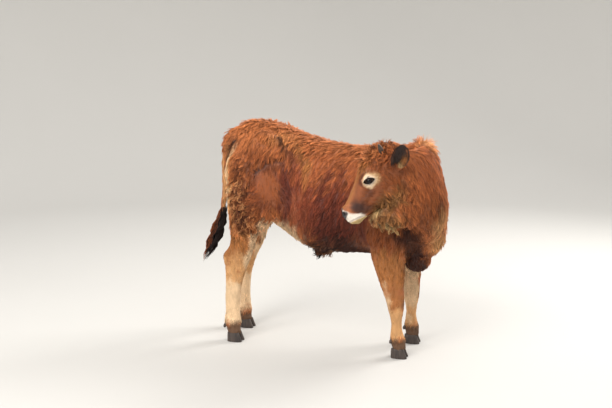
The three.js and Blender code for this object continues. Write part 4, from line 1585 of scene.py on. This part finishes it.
def coat_density():
    """Locks per square millimetre: layers * 2 / (length * width), none on bare skin."""
    length = lie[:, 3]
    layers = np.interp(length, *LAYERS)
    layers = layers * (1 + CROWN_LAYERS * bell(skin_local, CROWN_AT, CROWN_REACH))
    hidden = smoothstep(*CORONET, skin_points[:, 2]) + skin_bare
    x, y, z = skin_local.T
    mouth = np.abs(z - np.interp(x, MOUTH_X, MOUTH_Z))
    hidden = hidden + (mouth < LIPS_BARE) * (x > MOUTH_X[0]) * (np.abs(y) < 60)
    hidden = hidden + (eye_distance(skin_local, RIM) < 1.05)
    return np.where(hidden > 0.5, 0, layers * 2 / (length * lock_width(length)))


density = coat_density()
print("locks for each square centimetre, at most", (100 * density.max()).round(1))

# %% [markdown]
# Lashes are locks too, long for their width, in a row along the rim of the upper lid.
# Each says where it starts, which way is up and how it is combed, and joins the roots.

# %% Lashes
LASHES, LASH_LENGTH, LASH_LIFT, LASH_CURL = 44, 10, 24, 0.1  # number, mm, degrees
LASH_SPAN = (0.12, 0.86)  # half turns round the lids where the row starts and ends


def lashes(side):
    """Roots along the upper lid's rim, the way up there, and a stroke for each: out of the
    eye and a little back."""
    axes, centre = eye_axes(side), EYE * [1, side, 1]
    x, y = almond(np.linspace(*LASH_SPAN, LASHES) * np.pi, 0.06)
    height = ball_height(x, y) + LID_THICK
    local = np.stack([x, y, height], -1)
    aim = unit(np.stack([x / 60 - 0.15, 0.25 + 0 * x, 1 + 0 * x], -1))
    up = np.tile(head_axes @ axes[:, 1], (LASHES, 1))
    numbers = np.tile([LASH_LENGTH, LASH_LIFT, LASH_CURL], (LASHES, 1))
    return from_head(local @ axes.T + centre), up, np.hstack([aim @ axes.T @ head_axes.T, numbers])


print("a row of lashes", np.ptp(lashes(1)[0], 0).max().round(), "mm long")

# %% [markdown]
# Now every lock gets its own numbers, by a chance that it shares with its clump and one
# of its own. Curly hair strays more and varies more from light to dark, in its own tones
# and in painted shade and light between the locks; the short hair of face and shins is
# calm. The brightest curls are painted towards sand, as highlights on the curls.

# %% Every lock's numbers
LASH_SLENDER = 0.45
STRAY = ([0, 0.2, 0.4, 1], [0.06, 0.12, 0.26, 0.5])  # radians off the comb's way, by curl
STREAK_SIZE, STREAK_STEPS = 11, range(-42, 43, 14)  # mm across, and along the hair

face_of, weights_of = sown(density)
root = at_roots(skin_points, face_of, weights_of)
normal = unit(at_roots(skin_normals, face_of, weights_of))
stroke = at_roots(lie, face_of, weights_of)
way = unit(stroke[:, :3] - normal * (stroke[:, :3] * normal).sum(1, keepdims=True))
tint = at_roots(skin_colours, face_of, weights_of)
slender = np.clip(1 + 0.3 * chance.normal(size=len(root)), 0.5, 1.6)
slender = slender * (0.75 + 0.35 * smoothstep(0.1, 0.5, stroke[:, 5]))
for side in (1, -1):
    lash_root, lash_up, lash_stroke = lashes(side)
    root = np.concatenate([root, lash_root])
    normal = np.concatenate([normal, lash_up])
    stroke = np.concatenate([stroke, lash_stroke])
    way = np.concatenate([way, lash_stroke[:, :3]])
    tint = np.concatenate([tint, np.tile(PALETTE["umber"], (len(lash_root), 1))])
    slender = np.append(slender, np.full(len(lash_root), LASH_SLENDER))
count = len(root)

leaders = KDTree(math.ceil(count / CLUMP))
for i in range(0, count, CLUMP):
    leaders.insert(root[i], i)
leaders.balance()
leader = np.array([leaders.find(p)[1] for p in root])
drawn = chance.normal(size=(count, 5))
loose = np.interp(stroke[:, 5], *STRAY)
streaks = sum(ripple(root + way * step, STREAK_SIZE, seed=9) for step in STREAK_STEPS) / 2.6
way = turned_about(way, normal, loose * (drawn[leader, 0] + 0.35 * drawn[:, 0]))
length = stroke[:, 3] * np.clip(1 + 0.2 * drawn[leader, 1] + 0.12 * drawn[:, 1], 0.5, 1.5)
lift = np.radians(stroke[:, 4] * np.clip(1 + 0.3 * drawn[leader, 2] + 0.2 * drawn[:, 2], 0.3, 2))
curl = stroke[:, 5]
wild = smoothstep(0.5, 1.1, curl)
calm = np.interp(stroke[:, 3], [8, 22], [0.45, 1])
# uneven_tone_and_shade: the hair's own tones, and painted shade and light between locks
uneven_tone_and_shade = 0.32 * streaks + (0.14 + 0.36 * wild) * drawn[leader, 3] + (0.17 + 0.2 * wild) * drawn[:, 3]
tone = np.clip(1 + calm * uneven_tone_and_shade, 0.35, 2)
tint = tint * tone[:, None]
# painted highlight: the brightest curly locks are turned towards sand
tint = over(tint, "sand", 0.48 * smoothstep(1.1, 1.7, tone) * smoothstep(0.6, 1.1, curl))
root_uv = map_places(root)
print(count, "locks, from", length.min().round(1), "to", length.max().round(1), "mm long")

# %% [markdown]
# The locks become meshes, each below the most triangles that a piece may have: long and
# short hair of the body, legs, and the head's own. Long locks have three rings, short
# ones two. A flat spike catches light like a blade, so its normals lean sideways at the
# edges, as they would on a rod, and the light falls softly over it.

# %% A mesh of many locks
LONG = 26  # mm: from here on a lock has three rings


def lock_places(rings):
    """For each point of a lock: its share of the way to the tip, and of the way across."""
    along = np.append(np.repeat(np.arange(rings) / rings, 3), 1)
    return along, np.append(np.tile([-0.5, 0.5, 0], rings), 0)


def lock_mesh(name, points, rings, tints, places):
    """One mesh of locks, from the points of each. Its tints are a colour for each lock or each
    of its points, and its places say where each lock's patch lies on the map."""
    number, per_lock = points.shape[:2]
    starts = np.arange(number)[:, None, None] * per_lock
    faces = (lock_faces(rings)[None] + starts).reshape(-1, 3)
    points, faces = outward(placed(points.reshape(-1, 3)), faces)
    piece = mesh_from(name, points, faces)
    along, across = lock_places(rings)
    stored(piece, "tint", np.broadcast_to(tints, (number, per_lock, 3)).reshape(-1, 3))
    stored(piece, "along", np.tile(along, number))
    uv = places[:, None] + np.stack([across, along - 0.5], -1) * PATCH
    corners = uv.reshape(-1, 2)[faces.ravel()].astype(np.float32)
    piece.data.uv_layers.new(name="OFBake").uv.foreach_set("vector", corners.ravel())
    piece.data.materials.append(coat_hair)
    return piece


print("across a short lock its points lie at", lock_places(2)[1])

# %% Coat pieces
ROUND = 0.55  # how round a lock looks across: 0 as flat as the skin, 1 as a rod
# painted shade at a curly lock's root and painted light at its tip, giving the curl depth
CURL_SHADING = 0.4  # how much lighter than its root a curly lock's tip is
MOST = 190_000  # triangles in a piece


def coat_piece(name, rows, rings):
    """One mesh of the locks in rows. A lock's root is painted darker and its tip lighter, the
    more so the curlier it is, as shade and light on the curl and partly paler tips: tint *
    (1 + curl_shading * curl * (2 along - 0.9)). Its normals lean sideways by how far across
    they are."""
    lookup = np.full(count, -1)
    lookup[rows] = np.arange(len(rows))
    local_leader = np.where(lookup[leader[rows]] >= 0, lookup[leader[rows]], np.arange(len(rows)))
    width = slender[rows] * lock_width(length[rows])
    points = locks(root[rows], normal[rows], way[rows], length[rows], width, lift[rows],
                   curl[rows], local_leader, rings)
    along, across = lock_places(rings)
    curl_shaded = 1 + CURL_SHADING * np.clip(curl[rows], 0.1, 1)[:, None, None] * (2 * along - 0.9)[:, None]
    piece = lock_mesh(name, points, rings, tint[rows][:, None] * curl_shaded, root_uv[rows])
    side = np.cross(normal[rows], way[rows])[:, None] * (2 * across * ROUND)[:, None]
    soft = unit(normal[rows][:, None] + side).astype(np.float32)
    normals = piece.data.attributes.new("custom_normal", "FLOAT_VECTOR", "POINT")
    normals.data.foreach_set("vector", soft.ravel())
    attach(piece, "root")
    return piece


def coat_pieces(name, chosen, rings):
    """Several pieces along the body, each of no more than MOST triangles or so."""
    rows = np.flatnonzero(chosen)
    rows = rows[np.argsort(root[rows, 0], kind="stable")]
    parts = math.ceil(len(rows) * len(lock_faces(rings)) / MOST)
    made = []
    for i, part in enumerate(np.array_split(rows, parts)):
        made.append(coat_piece(f"{name}_{i + 1}", part, rings))
    print(name, [len(piece.data.polygons) for piece in made])


local = to_head(root)
on_head = (local[:, 0] > -40) & (np.abs(local[:, 1]) < 175) & (np.abs(local[:, 2] + 40) < 160)
on_legs = (root[:, 2] < 430) & ~on_head & (root[:, 0] > -470)
is_long = stroke[:, 3] > LONG
coat_pieces("coat_body", ~on_head & ~on_legs & is_long, 3)
coat_pieces("coat_short", ~on_head & ~on_legs & ~is_long, 2)
coat_pieces("coat_legs", on_legs, 2)
coat_pieces("coat_head_long", on_head & is_long, 3)
coat_pieces("coat_head_short", on_head & ~is_long, 2)

# %% [markdown]
# ## Eyes
# An eyeball is a ball with a smaller, clearer bulge on its front, the cornea. Nothing
# gives a face life as that bulge does, because it holds the highlight. The iris of a
# calf is nearly as dark as its pupil, and the pupil is a wide bar that lies level. Both
# are drawn in the material from the ball's own directions, kept on its points.

# %% Eyeballs
IRIS, PUPIL = (0.74, 0.66), (0.46, 0.25)  # half width and height, as shares of the ball
CORNEA = (0.82, 1.6)  # how far round it reaches, and how many mm it stands out


def blend(tree, share, a, b):
    """Colour a where share is 0 and colour b where it is 1."""
    node = add(tree, "ShaderNodeMix", data_type="RGBA")
    for socket, value in zip((node.inputs[0], node.inputs[6], node.inputs[7]), (share, a, b)):
        if isinstance(value, bpy.types.NodeSocket):
            tree.links.new(value, socket)
        else:
            socket.default_value = (*value, 1)
    return node.outputs[2]


def eye_material():
    """Pupil in iris in white, by how far round the ball a point lies; wet and clear over all."""
    made, tree, shader = material(
        "calf eye", Coat_Weight=0.3, Coat_Roughness=0.02, Roughness=0.15, Specular_IOR_Level=0.1
    )
    gaze = add(tree, "ShaderNodeAttribute", attribute_name="gaze").outputs["Vector"]

    def beyond(size, soft):
        """0 inside an oval round the middle of the gaze, 1 outside."""
        flat = (1 / size[0], 1 / size[1], 0)
        scaled = add(tree, "ShaderNodeVectorMath", {0: gaze, 1: flat}, operation="MULTIPLY")
        length = add(tree, "ShaderNodeVectorMath", {0: scaled.outputs["Vector"]}, operation="LENGTH")
        return ranged(tree, length.outputs["Value"], 0, 1, 1 - soft, 1 + soft)

    fibres = add(tree, "ShaderNodeTexNoise", {"Vector": gaze, "Scale": 9.0, "Detail": 4.0}).outputs["Fac"]
    iris = blend(tree, fibres, paint(18, 11, 9), paint(38, 24, 18))
    inner = blend(tree, beyond(PUPIL, 0.12), paint(5, 6, 9), iris)
    white = blend(tree, fibres, paint(92, 70, 60), paint(120, 98, 86))
    tree.links.new(blend(tree, beyond(IRIS, 0.1), inner, white), shader.inputs["Base Color"])
    return made


def eyeball(side):
    """The ball, its front pushed out by the cornea: 1.6 mm times 1 - (angle / reach)^2."""
    axes = eye_axes(side)
    points, faces = egg((0, 0, 0), (EYE_RADIUS,) * 3, 0, 64)
    local = points @ axes / EYE_RADIUS
    angle = np.arccos(np.clip(local[:, 2], -1, 1))
    bulge = 1 + CORNEA[1] / EYE_RADIUS * np.maximum(1 - (angle / CORNEA[0]) ** 2, 0)
    return from_head(points * bulge[:, None] + EYE * [1, side, 1]), faces, local


def piece_of(name, part, look, slot, *nodes):
    """A mesh in the frame that stands for its CAD nodes."""
    made = mesh_from(name, placed(part[0]), part[1])
    made.data.materials.append(look)
    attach(made, "root")
    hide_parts(*nodes)
    return made


eye_look = eye_material()
for side, side_name in ((1, "left"), (-1, "right")):
    points, faces, local = eyeball(side)
    ball = piece_of("eyeball_" + side_name, (points, faces), eye_look, "eye", "eye_" + side_name)
    stored(ball, "gaze", local)
print("eyeballs of", len(faces), "triangles")

# %% [markdown]
# ## Horn buds and claws
# Horn grows like a nail, in rings: each season's growth pushes the last one outward.
# The buds of a calf are short blunt cones, dull and ridged. A foot has two claws, flat
# towards each other and round outside, with rings that run level with the coronet, and
# two small dewclaws behind. The rings come from a sine in the loft's own size, so they
# catch light at the outline as well, which a bump alone never does.

# %% Horn
def horn_material(name, dark, light, ring_scale):
    """Keratin: streaks along the growth, soft rings across it, a satin surface."""
    made, tree, shader = material(name, Specular_IOR_Level=0.45, Coat_Weight=0.08, Coat_Roughness=0.3)
    streaks = noise(tree, 90, 4, (1, 1, 0.15))
    stains = noise(tree, 22, 3)
    share = times(tree, ranged(tree, streaks, 0.2, 1.2, *MIDDLE), ranged(tree, stains, 0.4, 1.1, *MIDDLE))
    fine = noise(tree, ring_scale, 3, (0.3, 0.3, 1))
    colour, roughness = blend(tree, share, dark, light), ranged(tree, stains, 0.42, 0.7)
    wired(tree, shader, colour, roughness, fine, 0.5, 0.0008)
    return made


horn_look = horn_material("horn", paint(30, 26, 25), paint(86, 74, 64), 500)
hoof_look = horn_material("hoof", paint(32, 27, 27), paint(84, 72, 66), 300)
print("two looks of horn,", len(hoof_look.node_tree.nodes), "nodes each")

# %% [markdown]
# Each claw is made in the box of its own solid, so that all eight stand where the feet
# do. The dewclaws are small tilted eggs.

# %% Buds, claws and dewclaws
HORN_ROOT, HORN_WAY, HORN_LENGTH = (24, 54, 6), (-0.25, 0.6, 0.76), 42
HORN_WIDTH = [(-0.35, 12), (0.1, 11), (0.45, 9), (0.75, 6.6), (0.93, 4.2), (1, 2)]
CLAW = [  # height, toe, heel and half width, from the claw's own middle
    (0, 41, 31, 15),
    (5, 41.5, 31.5, 15.3),
    (22, 34, 31.5, 15.3),
    (36, 29, 31, 14.4),
    (44, 25.5, 30, 12.8),
]
CLAW_FLAT = 0.86  # of its half width, on the side towards the other claw
DEWCLAW, DEWCLAW_BACK, DEWCLAW_TILT = (7.5, 7.5, 12), [3, 0, 0], 20  # reach and shift in mm


def horn_bud(side):
    """A blunt cone along its way, its width rippled by the growth rings."""
    share, width = through(HORN_WIDTH, 60).T
    width = width + 0.3 * np.sin(share * 36) * smoothstep(1, 0.8, share)
    way = unit(np.array(HORN_WAY)) * [1, side, 1]
    path = np.array(HORN_ROOT) * [1, side, 1] + np.outer(share * HORN_LENGTH, way)
    points, faces = loft(path, width, width, width, (1, 0, 0), level=False, around=40)
    return from_head(points), faces


def claw(x, y, inward):
    """A loft up the claw's axis, each size * (1 + 0.012 sin 1.35z) for its rings. inward is 1
    where the other claw lies on the positive side: that side is flattened."""
    z, toe, heel, half = through(CLAW, 46).T
    rings = 1 + 0.012 * np.sin(z * 1.35) * smoothstep(2, 8, z)
    path = np.stack([x + 0 * z, y + 0 * z, z + 0.4], -1)
    points, faces = loft(path, toe * rings, heel * rings, half * rings, (1, 0, 0), square=2.3)
    beyond = (points[:, 1] - y) * inward
    points[:, 1] = y + inward * np.where(beyond > 0, beyond * CLAW_FLAT, beyond)
    return outward(points, faces)


for side, side_name in ((1, "left"), (-1, "right")):
    piece_of("bud_" + side_name, horn_bud(side), horn_look, "horn", "horn_" + side_name)
claw_names = [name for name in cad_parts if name.startswith("hoof_")]
for name in claw_names:
    low, high = np.array(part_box(name)) / MM - origin
    middle = (low[1] + high[1]) / 2
    foot = np.sign(middle) * STANCE
    claw_part = claw(low[0] + HOOF_HEEL, middle, np.sign(foot - middle))
    piece_of(name.replace("hoof", "claw"), claw_part, hoof_look, "hoof", name)
for name in [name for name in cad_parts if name.startswith("dewclaw_")]:
    low, high = np.array(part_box(name)) / MM - origin
    pea = egg((low + high) / 2 + DEWCLAW_BACK, DEWCLAW, DEWCLAW_TILT, 24)
    piece_of(name.replace("dewclaw", "spur"), pea, hoof_look, "hoof", name)
print(len(claw_names), "claws, and as many spurs")

# %% [markdown]
# ## Switch of the tail
# The long hair at the end of the tail hangs in wavy cords that narrow to a point. Each
# strand starts on the tail's skin, keeps its own place in the section on its way down
# the line of the switch, and swings about it with a wave that several strands share.

# %% Tail switch
SWITCH = [  # x, z, reach along, reach across
    (-493, 640, 14, 16),
    (-508, 588, 24, 21),
    (-528, 528, 33, 26),
    (-553, 465, 33, 25),
    (-580, 405, 23, 18),
    (-612, 346, 5, 5),
]
STRANDS, STRAND_RINGS = 620, 12


def strands():
    """Strand lines: centre(s) + reach(s) (place + wave), for s from its start to its end."""
    start = chance.beta(1.3, 2.2, STRANDS) * 0.55
    end = np.clip(start + chance.uniform(0.35, 0.75, STRANDS), 0, chance.uniform(0.8, 1, STRANDS))
    s = start[:, None] + (end - start)[:, None] * np.linspace(0, 1, STRAND_RINGS + 1)
    table = through(SWITCH, 200)
    x, z, along, across = (np.interp(s, np.linspace(0, 1, 200), table[:, k]) for k in range(4))
    angle = chance.uniform(0, 2 * np.pi, STRANDS)
    out = (0.35 + 0.6 * np.sqrt(chance.random(STRANDS)))[:, None]
    cord = np.round(angle * 7 / (2 * np.pi))[:, None]
    wave = 0.16 * np.sin(s * 26 + cord * 1.9) + 0.05 * np.sin(s * 60 + angle[:, None] * 5)
    swing = 0.16 * np.cos(s * 22 + cord * 2.3)
    x = x + along * (out * np.cos(angle)[:, None] + wave)
    y = across * (out * np.sin(angle)[:, None] + swing)
    return np.stack([x, y, z], -1), angle


line, angle = strands()
print(STRANDS, "strands down to", line[..., 2].min().round(), "mm above the floor")

# %% [markdown]
# The strands are dressed as the locks are, with three sides and a tip, and share their
# hair material. Most are black, and some at the back are rusty. Each hangs on the map at
# the place where it leaves the tail.

# %% Switch piece
STRAND_WIDTH, STRAND_TONE = (2.2, 3.6), (0.7, 1.4)  # mm, and shares of the colour's light
BACKWARDS = 3.4  # radians round the switch, where the rusty strands are

ahead = unit(np.gradient(line, axis=1))
side = unit(np.cross(ahead, np.stack([np.cos(angle), np.sin(angle), 0 * angle], -1)[:, None]))
wide = np.interp(np.linspace(0, 1, STRAND_RINGS + 1), [0, 0.2, 0.7, 1], [0.8, 1, 0.8, 0])[:, None]
wide = wide * chance.uniform(*STRAND_WIDTH, STRANDS)[:, None, None]
ridge = np.cross(side, ahead)
corners = np.stack([line - side * wide / 2, line + side * wide / 2, line + ridge * wide * 0.5], 2)
points = np.concatenate([corners[:, :-1].reshape(STRANDS, -1, 3), line[:, -1:]], 1)
rusty = smoothstep(0.3, 1, np.cos(angle - BACKWARDS) + 0.3 * chance.normal(size=STRANDS))
strand_tint = over(np.tile(PALETTE["black"], (STRANDS, 1)), "rust", rusty)
strand_tint = strand_tint * chance.uniform(*STRAND_TONE, (STRANDS, 1))
piece = lock_mesh("switch", points, STRAND_RINGS, strand_tint[:, None], map_places(line[:, 0]))
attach(piece, "root")
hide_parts("tail_switch")
print("switch of", len(piece.data.polygons), "triangles")

# %% [markdown]
# ## Floor and light
# The calf stands on a plain pale sweep: a floor that curves up far behind, so that no
# horizon cuts across it. A pale dome and one large soft lamp in front give the light of
# a bright overcast day, which hides nothing; a second lamp from behind lights the fine
# hair along the back and the neck, where a coat shows how deep it is.

# %% Floor
SWEEP_FLAT, SWEEP_RADIUS, SWEEP_TOP = 5.0, 2.5, 4.0  # where it bends, how softly, how high
FLOOR_SHADES = (0.52, 0.51, 0.49), (0.56, 0.55, 0.53)


def sweep():
    """A ring of points turned about the vertical: r = flat + R sin a, z = R (1 - cos a)."""
    bend = np.linspace(0, np.pi / 2, 16)
    r = np.concatenate([[0.02], SWEEP_FLAT + SWEEP_RADIUS * np.sin(bend), [SWEEP_FLAT + SWEEP_RADIUS]])
    z = np.concatenate([[0], SWEEP_RADIUS * (1 - np.cos(bend)), [SWEEP_TOP]])
    angle = np.linspace(0, 2 * np.pi, 96, endpoint=False)
    rings = np.stack([r[:, None] * np.cos(angle), r[:, None] * np.sin(angle), z[:, None] + 0 * angle], -1)
    points = np.concatenate([rings.reshape(-1, 3), [[0, 0, 0]]])
    faces = tube_faces(len(r), 96)
    return points, faces[(faces < len(points)).all(1)]


floor_look, floor_tree, floor_shader = material("pale floor", Specular_IOR_Level=0.2)
floor_grain = noise(floor_tree, 1.2, 4)
floor_colour = blend(floor_tree, ranged(floor_tree, floor_grain, *MIDDLE), *FLOOR_SHADES)
floor_tree.links.new(floor_colour, floor_shader.inputs["Base Color"])
floor_tree.links.new(ranged(floor_tree, floor_grain, 0.8, 0.95), floor_shader.inputs["Roughness"])
floor = mesh_from("floor", *sweep())
floor.data.materials.append(floor_look)
print("floor of", len(floor.data.polygons), "triangles")

# %% [markdown]
# The lamps are wide squares, since a small lamp would give the coat hard black gaps.

# %% Light
DOME_COLOUR, DOME_STRENGTH = (1.0, 0.985, 0.96, 1), 1.25

world = bpy.data.worlds.new("dome")
bpy.context.scene.world = world
world.use_nodes = True
world.node_tree.nodes["Background"].inputs["Color"].default_value = DOME_COLOUR
world.node_tree.nodes["Background"].inputs["Strength"].default_value = DOME_STRENGTH


def lamp(name, at, towards, size, watts, colour):
    """A square soft lamp at a place, turned to face another."""
    light = bpy.data.lights.new(name, "AREA")
    light.energy, light.size, light.color = watts, size, colour
    made = bpy.data.objects.new(name, light)
    made.location = at
    made.rotation_mode = "QUATERNION"
    made.rotation_quaternion = (Vector(towards) - Vector(at)).to_track_quat("-Z", "Y")
    bpy.context.scene.collection.objects.link(made)


lamp("key", (-0.9, -3.4, 3.3), (0, 0, 0.6), 2.4, 165, (1, 0.97, 0.93))
lamp("rim", (2.4, 2.4, 3.2), (0.1, 0, 0.8), 1.8, 150, (1, 0.98, 0.95))
bpy.context.scene.view_settings.view_transform = "Standard"
print(len(bpy.data.lights), "lamps and a pale dome")
